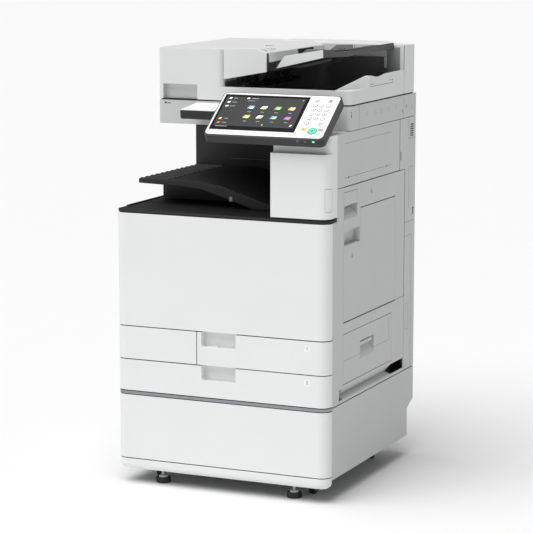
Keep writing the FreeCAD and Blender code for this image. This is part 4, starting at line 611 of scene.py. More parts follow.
right_inlays("reader_side_seams", "chassis", GREY_AND_PAINTED_SHADE,
             [(-91.4, READER_BASE, -90.2, READER_LID), (242.2, READER_BASE, 243.4, READER_LID)])
# The latch and corner slots are black as painted shade of their openings.
right_inlays("reader_latch_slots", "chassis", BLACK_AND_PAINTED_SHADE,
             [(230.2, 990, 233, 998.5), (260.6, 1000, 263.4, 1010)])
right_inlays("reader_corner_slots", "chassis", BLACK_AND_PAINTED_SHADE,
             [(-143.4, 1007, -140.6, 1017), (-143.4, 1020, -140.6, 1023.5)], RIGHT - 0.6)
SCREW_CAPS = [(-32, 1011), (27, 1009), (72.5, 1008), (126, 1008.5), (184, 1010), (308, 999)]
# The grey ring round each screw cap is painted shade of its recess.
for label, radius, material, reach in (("ring", 6.4, GREY_AND_PAINTED_SHADE, 0.05),
                                       ("cap", 5.6, GRAINED_SIDE_ABS, PROUD)):
    bm = bmesh.new()
    for y, z in SCREW_CAPS:
        disc(bm, (RIGHT - 1 + reach, y, z), radius, 2.0, "X", 24)
    piece(f"reader_screw_{label}s", bm, "chassis", material)

right_inlays("upper_cover_lines", "chassis", GREY_AND_PAINTED_SHADE,
             [(-189.5, 943.8, 149, 944.8), (-189.5, 853.4, 149, 854.5)])
right_inlays("upper_cover_seam", "chassis", BLACK_AND_PAINTED_SHADE,
             [(215.6, 832, 216.9, 972.5), (221.8, 857.5, 226.4, 881.5)])
bm = bmesh.new()
for y, z in ((-161.4, 854), (114.5, 854)):
    disc(bm, (RIGHT - 0.85, y, z), 2.6, 2.0, "X", 20)
piece("upper_cover_pins", bm, "chassis", BLACK_AND_PAINTED_SHADE)
print("screw caps on the reader:", len(SCREW_CAPS))

# %% [markdown]
# The rear column beside the doors is one tall cover with a vent, a few plates and two
# slots. Dark lines above and below the bypass tray are the shadows of its gaps. The
# two doors each carry a small generic pictogram.

# %% Rear column and doors
VENT_SLOTS, VENT_PITCH = 6, 6.2
# The grey lines and the black slots of the rear column, its vent among them, are painted shade of its
# joints and openings.
right_inlays("rear_column_lines", "chassis", GREY_AND_PAINTED_SHADE,
             [(283.4, 911.4, 284.6, 972.5), (283.4, 911.4, 339, 912.6),
              (287.2, 716, 288.4, 833), (287.2, 832, 318, 833), (256.5, 677.8, 338.5, 679.2),
              (256.5, 638.2, 312, 639.4), (311, 262, 312.2, 639.4),
              (268.6, 371, 269.6, 446), (290.4, 371, 291.4, 446), (268.6, 371, 291.4, 372),
              (268.6, 445, 291.4, 446), (256.5, 262, 257.6, 830),
              (-193.6, 258, -192.6, 264), (161.6, 258, 162.6, 264)])
right_inlays("rear_column_slots", "chassis", BLACK_AND_PAINTED_SHADE,
             [(319, 695, 325, 714), (317, 712, 329, 715)]
             + [(298, 918 + VENT_PITCH * i, 322, 921.4 + VENT_PITCH * i) for i in range(VENT_SLOTS)])
right_inlays("bypass_shadow_top", "jam_door", BLACK_AND_PAINTED_SHADE,
             [(-74.5, 762.2, 183, 764.2)])
right_inlays("bypass_shadow_bottom", "chassis", BLACK_AND_PAINTED_SHADE,
             [(-192.5, 468.4, 185, 470.8)])
# The crease of the lower door is a grey line of painted shade.
right_inlays("lower_door_crease", "lower_door", GREY_AND_PAINTED_SHADE,
             [(-191, 365.6, -73, 366.5), (31.5, 365.6, 142.6, 366.5), (142, 366, 143, 430)])


def pictogram(name, body, y, z, lean):
    """A generic dot and two strokes, printed small in grey."""
    depth = RIGHT - 0.35
    bm = bmesh.new()
    disc(bm, (depth, y, z - 4), 3.4, 0.9, "X", 20)
    for side in (-1, 1):
        stroke = brick(bm, (-0.45, -0.7, -5.5), (0.45, 0.7, 5.5))
        bmesh.ops.rotate(bm, cent=(0, 0, 0), matrix=Matrix.Rotation(lean * side, 3, "X"),
                         verts=stroke)
        bmesh.ops.translate(bm, vec=mm(depth, y + 1.8 * side, z + 2), verts=stroke)
    piece(name, bm, body, GREY_AND_PAINTED_SHADE)


pictogram("jam_door_pictogram", "jam_door", 5, 799, 0.5)
pictogram("bypass_pictogram", "bypass", -133, 643, 0.3)
print("vent slots:", VENT_SLOTS)

# %% [markdown]
# The finger pocket of the lower side door has a bar across its top to pull on, and a
# floor that slopes out to the skin so that paper dust slides out. Both are simple
# shapes: a rounded bar, and a wedge from an outline pushed along Y.

# %% Finger pocket of the lower side door
POCKET_FRONT, POCKET_BACK, POCKET_FLOOR = -71.6, 30, 352.6
bricks("lower_door_pull_bar", "lower_door", GRAINED_SIDE_ABS,
       [((300.5, -72.5, 386.5), (308.8, 17, 397.5))], 2.5)
bm = bmesh.new()
slab(bm, [(292.2, POCKET_FRONT, POCKET_FLOOR), (309.4, POCKET_FRONT, POCKET_FLOOR),
          (292.2, POCKET_FRONT, 386)], (0, POCKET_BACK - POCKET_FRONT, 0))
piece("lower_door_pocket_slope", bm, "lower_door", GRAINED_SIDE_ABS)
print("side details made")

# %% [markdown]
# The operation panel is a dark body with a white face set into it, like a phone in a
# bumper. The face is one plate: a rounded slab with the window and all the key holes
# cut by an exact boolean. It is drawn flat, in the panel's own across, up and out
# sizes, and one matrix then leans it back to its slope.

# %% White face of the operation panel
PANEL_SLOPE, PANEL_BASE = 36, 966.7
PANEL = (Matrix.Translation(mm(low_side("control_panel", "x"), low_side("control_panel", "y"), PANEL_BASE))
         @ Matrix.Rotation(math.radians(PANEL_SLOPE), 4, "X"))
KEY_COLUMN, KEY_ROW = 273, 82
KEY_ACROSS, KEY_UP = 18.5, 16.8
KEY_AT = {"counter": (KEY_COLUMN, 151), "sleep": (KEY_COLUMN + 2 * KEY_ACROSS, 151),
          "reset": (KEY_COLUMN, 62.5), "settings": (KEY_COLUMN + 2 * KEY_ACROSS, 62.5)}
NUMBER_AT = [(KEY_COLUMN + KEY_ACROSS * column, KEY_ROW + KEY_UP * row)
             for row in (3, 2, 1, 0) for column in range(3)]
SMALL_KEYS = NUMBER_AT + list(KEY_AT.values())
START_AT = (298, 33.5)
FACE_TOP = 0.55


def lean_back(bm):
    """Take a bmesh from the panel's own sizes to its place on the copier."""
    bmesh.ops.transform(bm, matrix=PANEL, verts=bm.verts)
    return bm


def key_discs(level, small, large, depth):
    """A disc at every round key: small radius for most, large for the start key."""
    bm = bmesh.new()
    for across, up in SMALL_KEYS:
        disc(bm, (across, up, level), small, depth, "Z", 28)
    disc(bm, (*START_AT, level), large, depth, "Z", 48)
    return bm


face = bmesh.new()
brick(face, (2.6, 6.5, -0.4), (333.4, 170.4, FACE_TOP))
round_where(face, lambda a, b: near(a.x, b.x, 0.1) and near(a.y, b.y, 0.1), 11, 8)
holes = key_discs(0, 5.65, 12.45, 4)
for left, low, right, high in ((7.3, 24.8, 250.2, 164.2), (264.6, 34.5, 279.4, 44.3),
                               (311.6, 34.5, 326.4, 44.3)):
    brick(holes, (left, low, -2), (right, high, 2))
face = cut_through(face, holes)
soften_edges(face, 0.25, 2, math.radians(60))
piece("panel_white_face", lean_back(face), "panel", PANEL_WHITE_ABS)
print("round key holes:", len(SMALL_KEYS) + 1)

# %% [markdown]
# Each round key sits in a shallow grey ring, painted shade for the shadow gap that shows where to press.
# The three big keys carry the only colours: mint to start, yellow to clear and pink to
# stop. Their caps are silicone, with a soft sheen.

# %% Key rings and caps
def printed_ink(name, hex_text, glow=0.0):
    """A thin layer of ink or a lit patch of display, with a faint unevenness."""
    material = moulded_plastic(name, hex_text, 0.38, 0.5, 0.02, 0.002)
    shader = next(n for n in material.node_tree.nodes if n.type == "BSDF_PRINCIPLED")
    shader.inputs["Emission Color"].default_value = colour(hex_text)
    shader.inputs["Emission Strength"].default_value = glow
    return material


DIGIT_INK = printed_ink("digit_grey_ink", "#4A4C50")
START_MINT = moulded_plastic("start_mint_silicone", "#63DDB9", 0.4, 0.6, 0.02, 0.01, 1.41)
CLEAR_YELLOW = moulded_plastic("clear_yellow_silicone", "#F1D86F", 0.45, 0.6, 0.02, 0.01, 1.41)
STOP_PINK = moulded_plastic("stop_pink_silicone", "#F3A9A4", 0.45, 0.6, 0.02, 0.01, 1.41)

rings = cut_through(key_discs(FACE_TOP, 6.5, 13.2, 0.3), key_discs(FACE_TOP, 5.75, 12.55, 4))
piece("panel_key_shade_rings", lean_back(rings), "panel", GREY_AND_PAINTED_SHADE)

for key, material in (("start", START_MINT), ("clear", CLEAR_YELLOW), ("stop", STOP_PINK)):
    cover(f"{key}_key", material, 0.7)
for key in KEY_AT:
    cover(f"{key}_key", KEY_SILICONE, 0.6)
print("function keys:", len(KEY_AT) + 3)

# %% [markdown]
# Digits and signs are pad-printed on the caps. A digit is text made a mesh, less than a
# tenth of a millimetre thick, and laid on its cap. A sign is a few bars of the same ink.

# %% Digits and signs on the keys
INK_LOW, INK_TOP = 1.5, 1.66


def numeral(bm, text, size, matrix):
    """Add a number as a thin solid; the matrix places it."""
    curve = bpy.data.curves.new("numeral", "FONT")
    curve.body, curve.size, curve.extrude = text, size * MM, 0.04 * MM
    curve.align_x, curve.align_y, curve.resolution_u = "CENTER", "CENTER", 3
    holder = bpy.data.objects.new("numeral", curve)
    bpy.context.scene.collection.objects.link(holder)
    bpy.context.view_layer.update()
    solved = holder.evaluated_get(bpy.context.evaluated_depsgraph_get())
    mesh = bpy.data.meshes.new_from_object(solved)
    mesh.transform(matrix)
    bm.from_mesh(mesh)
    bpy.data.objects.remove(holder)
    bpy.data.curves.remove(curve)
    bpy.data.meshes.remove(mesh)


digits = bmesh.new()
for text, (across, up) in zip("123456789 0 ", NUMBER_AT):
    if text != " ":
        numeral(digits, text, 7.6, Matrix.Translation(mm(across, up, 1.62)))
for across, up in (NUMBER_AT[9], NUMBER_AT[11]):
    disc(digits, (across, up, 1.62), 1.3, 0.1, "Z", 16)
piece("number_key_digits", lean_back(digits), "number_keypad_body", DIGIT_INK)

MARKS = {"counter": [(-2.6, -0.5, 2.6, 0.5), (-0.5, -2.6, 0.5, 2.6)],
         "sleep": [(-2.8, -2.8, 2.8, 2.8)],
         "reset": [(-2.6, -1.6, 2.6, -0.8), (-2.6, 0.8, 2.6, 1.6)],
         "settings": [(-2.6, -0.4, 2.6, 0.4), (-1.4, -2.4, -0.6, 2.4), (0.6, -2.4, 1.4, 2.4)]}
for key, strokes in MARKS.items():
    across, up = KEY_AT[key]
    bm = bmesh.new()
    for x0, y0, x1, y1 in strokes:
        brick(bm, (across + x0, up + y0, INK_LOW), (across + x1, up + y1, INK_TOP))
    piece(f"{key}_key_mark", lean_back(bm), f"{key}_key_body", DIGIT_INK)
bm = bmesh.new()
made = brick(bm, (-2.6, -2.6, INK_LOW), (2.6, 2.6, INK_TOP))
bmesh.ops.rotate(bm, cent=(0, 0, 0), matrix=Matrix.Rotation(math.pi / 4, 3, "Z"), verts=made)
bmesh.ops.translate(bm, vec=mm(*START_AT, 0), verts=made)
piece("start_key_mark", lean_back(bm), "start_key_body",
      printed_ink("start_green_ink", "#2E9E7E"))
for key, across in (("clear", KEY_COLUMN - 1), ("stop", KEY_COLUMN + 46)):
    bm = bmesh.new()
    brick(bm, (across - 4, 37.2, INK_LOW), (across + 4, 38.4, INK_TOP))
    brick(bm, (across - 2.5, 40.2, INK_LOW), (across + 2.5, 41.2, INK_TOP))
    piece(f"{key}_key_mark", lean_back(bm), f"{key}_key_body", DIGIT_INK)
print("printed keys:", len(NUMBER_AT) + len(MARKS) + 3)

# %% [markdown]
# Small marks sit at the right rim of the panel, and three lamps on the edge that faces
# the user. The right lamp glows green, because the copier is ready.

# %% Status marks and lamps
lamps = bmesh.new()
for across, up, wide in ((326, 151, 1.6), (325.5, 133, 3.2), (325.5, 116, 1.8), (325.5, 99, 1.8)):
    brick(lamps, (across - wide / 2, up - 0.8, 0.4), (across + wide / 2, up + 0.8, 0.75))
piece("panel_status_marks", lean_back(lamps), "panel", DIGIT_INK)
for label, across, material in (
        ("left", 267, GREY_AND_PAINTED_SHADE), ("middle", 288, GREY_AND_PAINTED_SHADE),
        ("right", 311, printed_ink("ready_green_lamp", "#4FE3B0", 1.2))):
    bm = bmesh.new()
    brick(bm, (across - 3.2, -0.15, -8.5), (across + 3.2, 0.6, -3.5))
    piece(f"panel_lamp_{label}", lean_back(bm), "panel", material)
print("panel lamps:", 3)

# %% [markdown]
# The display is a sheet of black glass with a lit picture under it. The picture is
# built of thin tiles: a dark page, a darker column of choices at its left, and eight
# plain two-colour signs, which glow a little as a backlit screen does. No words are
# drawn; short bars stand where a caption would be.

# %% Lit page of the touch screen
PAGE, CHOICES, SIGN_BACK, MARK, SIGN_FRONT = 0.16, 0.2, 0.26, 0.3, 0.36
TILE, SIGN_LEAN = 0.09, 0.45


def screen_tiles(name, material, tiles, level=MARK):
    """Thin tiles on the screen, each (across, up, width, height, lean)."""
    bm = bmesh.new()
    for across, up, wide, high, lean in tiles:
        made = brick(bm, (-wide / 2, -high / 2, 0), (wide / 2, high / 2, TILE))
        shear = Matrix.Identity(3)
        shear[0][1] = lean
        bmesh.ops.transform(bm, matrix=shear.to_4x4(), verts=made)
        bmesh.ops.translate(bm, vec=mm(across, up, level), verts=made)
    return piece(name, lean_back(bm), "panel", material)


SCREEN_GLASS = moulded_plastic("screen_black_glass", "#0B0B0D", 0.12, 2.0, 0.01, 0.0, 1.5)
cover("touch_screen", SCREEN_GLASS, 0.3)
screen_tiles("screen_page", printed_ink("page_dark_glow", "#161719", 0.15),
             [(127, 98.5, 226, 115, 0)], PAGE)
screen_tiles("screen_choices", printed_ink("column_dark_glow", "#0E0F11", 0.1),
             [(43, 98.5, 57, 114, 0)], CHOICES)
WHITE_GLOW = printed_ink("sign_white_glow", "#F2F4F2", 0.75)
GREY_GLOW = printed_ink("caption_grey_glow", "#8E9092", 0.4)
columns, rows = (96, 133.5, 173, 212.5), (116, 79)
SIGNS = [((0, 0), "#5AA9E0", "#E9F3FA"), ((1, 0), "#F4F4EE", "#A9C878"),
         ((2, 0), "#69BF3A", "#B8BBBC"), ((3, 0), "#F0C240", "#FBF3D0"),
         ((0, 1), "#EDB53C", "#F7E9B8"), ((1, 1), "#F2F3F1", "#8FBF73"),
         ((2, 1), "#4D9FDB", "#F3D45A"), ((3, 1), "#8A62C0", "#E2708F")]
for index, ((column, row), first, second) in enumerate(SIGNS):
    across, up = columns[column], rows[row]
    screen_tiles(f"screen_sign_{index}_back", printed_ink(f"sign_{index}_back", first, 0.7),
                 [(across, up + 0.5, 15, 11, SIGN_LEAN)], SIGN_BACK)
    screen_tiles(f"screen_sign_{index}_front", printed_ink(f"sign_{index}_front", second, 0.7),
                 [(across + 3.2, up - 2.0, 9, 7, SIGN_LEAN)], SIGN_FRONT)
screen_tiles("screen_captions", GREY_GLOW,
             [(c + 1, r - 17.5, 10, 2.2, 0) for c in columns for r in rows]
             + [(40, 149.5, 10, 2.4, 0), (42, 134, 13, 2.4, 0), (42, 118.5, 15, 2.4, 0),
                (42, 69, 11, 2.4, 0), (42, 53, 13, 2.4, 0), (38, 38.8, 34, 2.2, 0),
                (97, 150.7, 18, 2.6, 0), (88, 141, 20, 1.8, 0), (234, 149.5, 4, 4, 0.3)])
screen_tiles("screen_white_marks", WHITE_GLOW,
             [(25.9, 149.4, 6.5, 5.5, 0.4), (25.9, 134, 7.5, 5.5, 0.4),
              (25.6, 118.4, 8, 4.5, 0.4), (77, 150.7, 7, 4.6, 0.4), (151.3, 49, 3, 3, 0),
              (231, 50.5, 4.5, 6, 0.4)])
screen_tiles("screen_yellow_mark", printed_ink("mark_yellow_glow", "#EFE3A0", 0.7),
             [(24.9, 68.6, 7, 5.5, 0.4)])
screen_tiles("screen_red_mark", printed_ink("mark_red_glow", "#E4583A", 0.8),
             [(25.2, 52.6, 7, 6, 0.4)])
print("signs on the screen:", len(SIGNS))

# %% [markdown]
# Beside the panel a small shelf carries papers: a dark tray with a white top let into
# it. The top is an outline pushed one millimetre, following the shelf's slope.

# %% White top of the side shelf
SHELF_RIM = 2
left, right = low_side("side_shelf", "x") + SHELF_RIM, high_side("side_shelf", "x") - SHELF_RIM
front, back = low_side("side_shelf", "y") + 1.8, READER_FRONT - 1.2
front_z, back_z = 1021.1, high_side("side_shelf", "z") - 0.2
bm = bmesh.new()
slab(bm, [(left, front, front_z), (right, front, front_z), (right, back, back_z), (left, back, back_z)],
     (0, -0.12, 1.2))
round_where(bm, lambda a, b: near(a.x, b.x, 0.1) and abs(a.z - b.z) > 0.9
            and min(a.y, b.y) < front + 1, 7, 5)
piece("side_shelf_top", bm, "chassis", PANEL_WHITE_ABS)
print("side shelf:", right - left, "mm wide")

# %% [markdown]
# Under the lower side door the skin folds inwards into a V, a grip for lifting the
# copier. Two thin plates leaning against each other make the V, and the cut-out in the
# skin stays dark beyond their ends. The lever's recess gets a sloping floor.

# %% Lifting groove and lever recess
GROOVE_FRONT, GROOVE_LENGTH = -192.4, 354
MOUTH, ROOT = RIGHT - 0.6, RIGHT - 21
bm = bmesh.new()
for plate in (((MOUTH, 293.6), (MOUTH, 297), (ROOT, 275), (ROOT, 271)),
              ((MOUTH, 264.1), (ROOT, 272.4), (ROOT, 268), (MOUTH, 261))):
    slab(bm, [(x, GROOVE_FRONT, z) for x, z in plate], (0, GROOVE_LENGTH, 0))
piece("lifting_groove", bm, "chassis", GRAINED_SIDE_ABS)
bm = bmesh.new()
slab(bm, [(293, -189.4, 745.3), (MOUTH, -189.4, 745.3), (293, -189.4, 768)], (0, 91.2, 0))
piece("lever_recess_slope", bm, "jam_door", GRAINED_SIDE_ABS)
print("lifting groove:", GROOVE_LENGTH, "mm long")

# %% [markdown]
# The cassettes are numbered from the top down, so that the display can say which one
# is empty. Each number is printed on a small pale label set into the front.

# %% Cassette numbers
LABEL_WHITE = printed_ink("label_white_film", "#F4F5F5")
LABEL_X, LABEL_WIDE, LABEL_HIGH, DIGIT_SIZE = 252, 15, 16, 13
stand_up = Matrix.Rotation(math.pi / 2, 4, "X")
for text, body, height in (("1", "upper_drawer", upper_top - 19), ("2", "lower_drawer", lower_top - 19)):
    bricks(f"cassette_label_{text}", body, LABEL_WHITE,
           [((LABEL_X - LABEL_WIDE / 2, FRONT - 0.1, height - LABEL_HIGH / 2),
             (LABEL_X + LABEL_WIDE / 2, FRONT + 0.6, height + LABEL_HIGH / 2))])
    bm = bmesh.new()
    numeral(bm, text, DIGIT_SIZE, Matrix.Translation(mm(LABEL_X, FRONT - 0.12, height)) @ stand_up)
    piece(f"cassette_number_{text}", bm, body, BLACK_AND_PAINTED_SHADE)
print("cassette labels:", 2)

# %% [markdown]
# The upper output tray is ribbed, so that a sheet touches only the ribs and slides
# easily. The ribs run across and stick out a little past the edge as scallops. Each is
# a bar rounded on top. The walls of the bay show two mould joints.

# %% Output bay
RIBS, RIB_PITCH, RIB_WIDE = 12, 31, 12
tray_top = high_side("upper_output_tray", "z")
ribs = bmesh.new()
for index in range(RIBS):
    y = -160 + RIB_PITCH * index
    brick(ribs, (-302.6, y - RIB_WIDE / 2, tray_top - 1.5), (-214, y + RIB_WIDE / 2, tray_top + 1.8))
soften_edges(ribs, 1.5, 3)
piece("upper_tray_ribs", ribs, "chassis", TRAY_BLACK_ABS)
bricks("upper_tray_catch", "chassis", MID_GREY_ABS,
       [((-30, -173.4, 772), (-21, -171, 785))], 1.2)
bricks("bay_mould_joints", "chassis", CAVITY_GREY_ABS,
       [((-62.4, 199.8, 824), (-61.2, 200.6, 965)), ((-200, 199.8, 842), (145, 200.6, 843))])
bm = bmesh.new()
brick(bm, (-308, -236, 753.5), (-302, 199, 756))
soften_edges(bm, 1.0, 2)
piece("deck_left_lip", bm, "chassis", BLACK_GRAINED_ABS)
print("ribs on the upper tray:", RIBS)

# %% [markdown]
# The document tray carries a pale fence along its front, which turns dark where it
# wraps round the tray's free end. The dark end is a curved wall: its plan is an
# outline that bends from the front to the right side, pushed straight up.

# %% Document tray fence
FENCE_Y, FENCE_WALL = -113.5, 6
FENCE_END, END_BASE, END_HIGH = 216, 1164, 16.6
END_REACH = high_side("document_tray", "x") - FENCE_END
fence = ((81, 1127.8), (FENCE_END, 1159.4), (FENCE_END, 1180.5), (104, 1161.5))
bm = bmesh.new()
slab(bm, [(x, FENCE_Y, z) for x, z in fence], (0, FENCE_WALL, 0))
soften_edges(bm, 1.0, 2)
piece("document_tray_fence", bm, "doc_tray", FEEDER_WHITE_ABS)

bend = [(FENCE_END, -113.4), (240, -108), (257, -95), (268, -72), (274, -30), (278, 60), (280, 240)]
inner_bend = [(x - FENCE_WALL, y + FENCE_WALL) for x, y in reversed(bend)]
bm = bmesh.new()
slab(bm, [(x, y, END_BASE) for x, y in bend + inner_bend], (0, 0, END_HIGH))
for vert in bm.verts:
    if vert.co.z < (END_BASE + END_HIGH / 2) * MM:
        vert.co.z -= 4.0 * (1 - (vert.co.x / MM - FENCE_END) / END_REACH) * MM
soften_edges(bm, 0.8, 2, math.radians(50))
piece("document_tray_end", bm, "doc_tray", DEEP_GREY_ABS)

rib = ((110, 1129.5), (214, 1154.5), (214, 1148), (150, 1131), (122, 1127))
bm = bmesh.new()
for y in (-60, 120):
    slab(bm, [(x, y, z) for x, z in rib], (0, 8, 0))
piece("document_tray_underside_ribs", bm, "doc_tray", DEEP_GREY_ABS)
print("tray fence:", FENCE_END - fence[0][0], "mm long")

# %% [markdown]
# The rear guide shows three small triangles, where a reader of the paper size lines up
# the edge, and ends in a pale cap.

# %% Marks on the rear guide
low, high = (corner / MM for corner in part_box("document_guide_rear"))
bm = bmesh.new()
for index in range(3):
    x = low.x + 38 + 6.5 * index
    slab(bm, [(x, low.y - 0.1, 1164), (x + 4.4, low.y - 0.1, 1164), (x + 2.2, low.y - 0.1, 1168)],
         (0, 0.6, 0))
piece("guide_size_marks", bm, "guide_rear", BLACK_AND_PAINTED_SHADE)
bricks("guide_end_cap", "guide_rear", FEEDER_WHITE_ABS,
       [((high.x - 0.6, low.y - 1.2, high.z - 11), (high.x + 3.4, high.y + 0.6, high.z + 0.4))], 0.8)
print("guide:", round(high.x - low.x, 1), "mm long")

# %% [markdown]
# The right end of the feeder cover is where the originals go in. Its lip slopes out over the tray, with
# black blocks behind it as painted shade in the mouth, and a row of moulded ticks above that tell where the
# paper edge goes.

# %% Mouth of the feeder cover
lip = ((64, 1169.2), (68.3, 1169.6), (75.5, 1146.4), (64, 1146.4))
bm = bmesh.new()
for y, length in ((-133, 192), (168, 70)):
    slab(bm, [(x, y, z) for x, z in lip], (0, length, 0))
soften_edges(bm, 0.9, 2)
piece("feeder_cover_lip", bm, "feeder_lid", FEEDER_WHITE_ABS)
# Black blocks in the mouth: painted shade of the opening.
bm = bmesh.new()
brick(bm, (60, -143.6, 1121), (68.5, -134.2, 1169))
brick(bm, (60, 60, 1145), (70.2, 167, 1168.6))
piece("feeder_mouth_shade", bm, "feeder_lid", BLACK_AND_PAINTED_SHADE)
bm = bmesh.new()
ROLLERS_AT = (72, 96, 120, 144)
for y in ROLLERS_AT:
    disc(bm, (69, y, 1155), 6.5, 13, "Y", 24)
piece("feeder_pinch_rollers", bm, "feeder_lid", ROLLER_RUBBER)
print("pinch rollers:", len(ROLLERS_AT))

# %% [markdown]
# The ticks lie on the slope that leads down to the lip, so each is made flat and turned
# by the slope's angle. Under the cover hang small black flags, which a sheet pushes
# aside so that the machine knows it is there.

# %% Ticks, latch and paper flags
COVER_SLOPE = math.atan2(12, 32)
ticks = bmesh.new()
for y, long in ((-128, 16), (-116, 8), (-92, 18), (-72, 14), (-58, 10)):
    made = brick(ticks, (-long / 2, -1.6, -0.6), (long / 2, 1.6, 0.35))
    bmesh.ops.rotate(ticks, cent=(0, 0, 0), matrix=Matrix.Rotation(COVER_SLOPE, 3, "Y"), verts=made)
    bmesh.ops.translate(ticks, vec=mm(52, y, 1176), verts=made)
piece("feeder_cover_ticks", ticks, "feeder_lid", GREY_AND_PAINTED_SHADE)
cover_top = high_side("feeder_cover", "z")
bricks("feeder_cover_latch", "feeder_lid", GREY_AND_PAINTED_SHADE,
       [((6, -20, cover_top - 2), (30, -12, cover_top))], 0.6)
left_flag = ((-44, 1101), (-20, 1106), (-30, 1084), (-36, 1083))
right_flag = ((14, 1108), (40, 1113), (26, 1092), (20, 1090))
flags = bmesh.new()
for y in (-100, -46, 10, 66):
    for outline, start in ((left_flag, y), (right_flag, y + 14)):
        slab(flags, [(x, start, z) for x, z in outline], (0, 9, 0))
piece("feeder_paper_flags", flags, "feeder_lid", BLACK_AND_PAINTED_SHADE)
print("paper flags:", 8)

# %% [markdown]
# Below the tray the feeder's well is lined in dark grey, where the copied originals
# drop out. At the front right corner the well's floor sweeps up to the side wall; the
# sweep is the convex hull of a few corner points.

# %% Well of the feeder
WELL_FLOOR, WELL_RIGHT = 1050, 297.6
WELL_BACK = (243.1, 244.6)
bricks("feeder_well_back", "feeder", CAVITY_GREY_ABS,
       [((-57.6, WELL_BACK[0], WELL_FLOOR), (257.5, WELL_BACK[1], 1142))])
bricks("feeder_well_floor", "feeder", CAVITY_GREY_ABS,
       [((-57.6, -139.4, 1048.4), (WELL_RIGHT, 243.8, 1049.8)), ((-58.6, -139, 1049), (-57.2, 243, 1090))])
bricks("feeder_well_corner", "feeder", MID_GREY_ABS,
       [((258.5, WELL_BACK[0], WELL_FLOOR), (WELL_RIGHT, WELL_BACK[1], 1168))])
bricks("feeder_well_guide", "feeder", FEEDER_WHITE_ABS,
       [((251, 241.6, 1110), (258, 244.2, 1141))], 0.8)


def hull(bm, points):
    """Wrap a closed convex skin round some points in millimetres."""
    verts = [bm.verts.new(mm(*point)) for point in points]
    bmesh.ops.convex_hull(bm, input=verts)


bm = bmesh.new()
sweep = ((260, -140, 1076.6), (309.6, -39.5, 1076.6), (309.6, -14, 1108.2), (298.4, -24, 1108.4))
corner = ((259, -141, 1076.7), (300, -141, 1076.7), (300, -58, 1076.7))
for tops in (sweep, corner):
    hull(bm, list(tops) + [(x, y, WELL_FLOOR) for x, y, _ in tops])
piece("feeder_corner_sweep", bm, "feeder", FEEDER_WHITE_ABS)
print("sweep made of two hulls")

# %% [markdown]
# The feeder's right side shows the joint with its hinge housing and a thin bracket line, drawn as grey
# lines of painted shade. Along the back runs a low ridge, and a small slot, black as painted shade of its
# opening, marks the reader's front.

# %% Side and back of the feeder
right_inlays("feeder_side_seam", "feeder", GREY_AND_PAINTED_SHADE,
             [(243, 1042, 244.3, 1175)])
right_inlays("feeder_side_bracket", "feeder", GREY_AND_PAINTED_SHADE,
             [(-12, 1084.2, 16, 1085.8), (-12, 1078.4, 157, 1079.8), (155.6, 1079, 157, 1087),
              (128, 1086.4, 157, 1087.8)])
RIDGE_FOOT, RIDGE_TOP = 1172, 1180.6
ridge = bmesh.new()
hull(ridge, [(x, y, RIDGE_FOOT) for x, y in ((-57, 246), (-57, 318), (250, 246), (270, 318))]
     + [(x, y, RIDGE_TOP) for x, y in ((-57, 248), (-57, 316), (225, 250), (235, 316))])
soften_edges(ridge, 2.0, 3)
piece("feeder_rear_ridge", ridge, "feeder", FEEDER_WHITE_ABS)
slot_front, slot_back = READER_FRONT - 0.2, READER_FRONT + 0.8
bricks("reader_front_slot", "chassis", BLACK_AND_PAINTED_SHADE,
       [((-232, slot_front, 1027.5), (-226, slot_back, 1031.5)),
        ((-224, slot_front, 1027.5), (-214, slot_back, 1029.5))])
print("ridge:", RIDGE_TOP - RIDGE_FOOT, "mm high")

# %% [markdown]
# A levelling foot is a black nylon disc with a knurled rim for turning by hand, a pale
# collar and a steel screw. The knurl is a ring of short teeth: every second pair of
# points on the rim is drawn in before the disc is given its height.

# %% Levelling feet
FOOT_RADIUS, FOOT_HIGH = 20, 15
COLLAR_RADIUS, SCREW_RADIUS, THREADS = 12.5, 5, 9


def knurled_foot(x, y):
    """A toothed disc standing on the floor at a point."""
    bm = bmesh.new()
    rim = bmesh.ops.create_circle(bm, cap_ends=True, segments=48, radius=FOOT_RADIUS * MM)["verts"]
    for index, vert in enumerate(rim):
        if index % 4 < 2:
            vert.co *= 0.93
    grown = bmesh.ops.extrude_face_region(bm, geom=bm.faces[:])["geom"]
    top = [item for item in grown if isinstance(item, bmesh.types.BMVert)]
    bmesh.ops.translate(bm, vec=(0, 0, FOOT_HIGH * MM), verts=top)
    bmesh.ops.recalc_face_normals(bm, faces=bm.faces)
    bmesh.ops.translate(bm, vec=mm(x, y, 0), verts=bm.verts)
    soften_edges(bm, 1.0, 2, math.radians(70))
    return bm


foot_y = low_side("leveling_feet", "y") + FOOT_RADIUS
foot_x = high_side("leveling_feet", "x") - FOOT_RADIUS
for index, x in enumerate((-foot_x, foot_x)):
    piece(f"levelling_foot_{index}", knurled_foot(x, foot_y), "chassis",
          FOOT_BLACK_NYLON, ["leveling_feet"])
    bm = bmesh.new()
    disc(bm, (x, foot_y, FOOT_HIGH + 2.2), COLLAR_RADIUS, 4.6, "Z", 40, 1.5)
    piece(f"levelling_collar_{index}", bm, "chassis", FEEDER_WHITE_ABS)
    bm = bmesh.new()
    disc(bm, (x, foot_y, 38), SCREW_RADIUS, 40, "Z", 24)
    for turn in range(THREADS):
        disc(bm, (x, foot_y, 22 + 3.6 * turn), SCREW_RADIUS + 0.6, 1.4, "Z", 24)
    piece(f"levelling_screw_{index}", bm, "chassis", ZINC_PLATED_STEEL)
print("feet at", foot_x, "mm from the middle")

# %% [markdown]
# Inside, behind the front door, stand four toner bottles over four drum units. Each
# bottle has a coloured cap for its toner and each drum a handle of the same colour, so
# that a user never mixes them up.

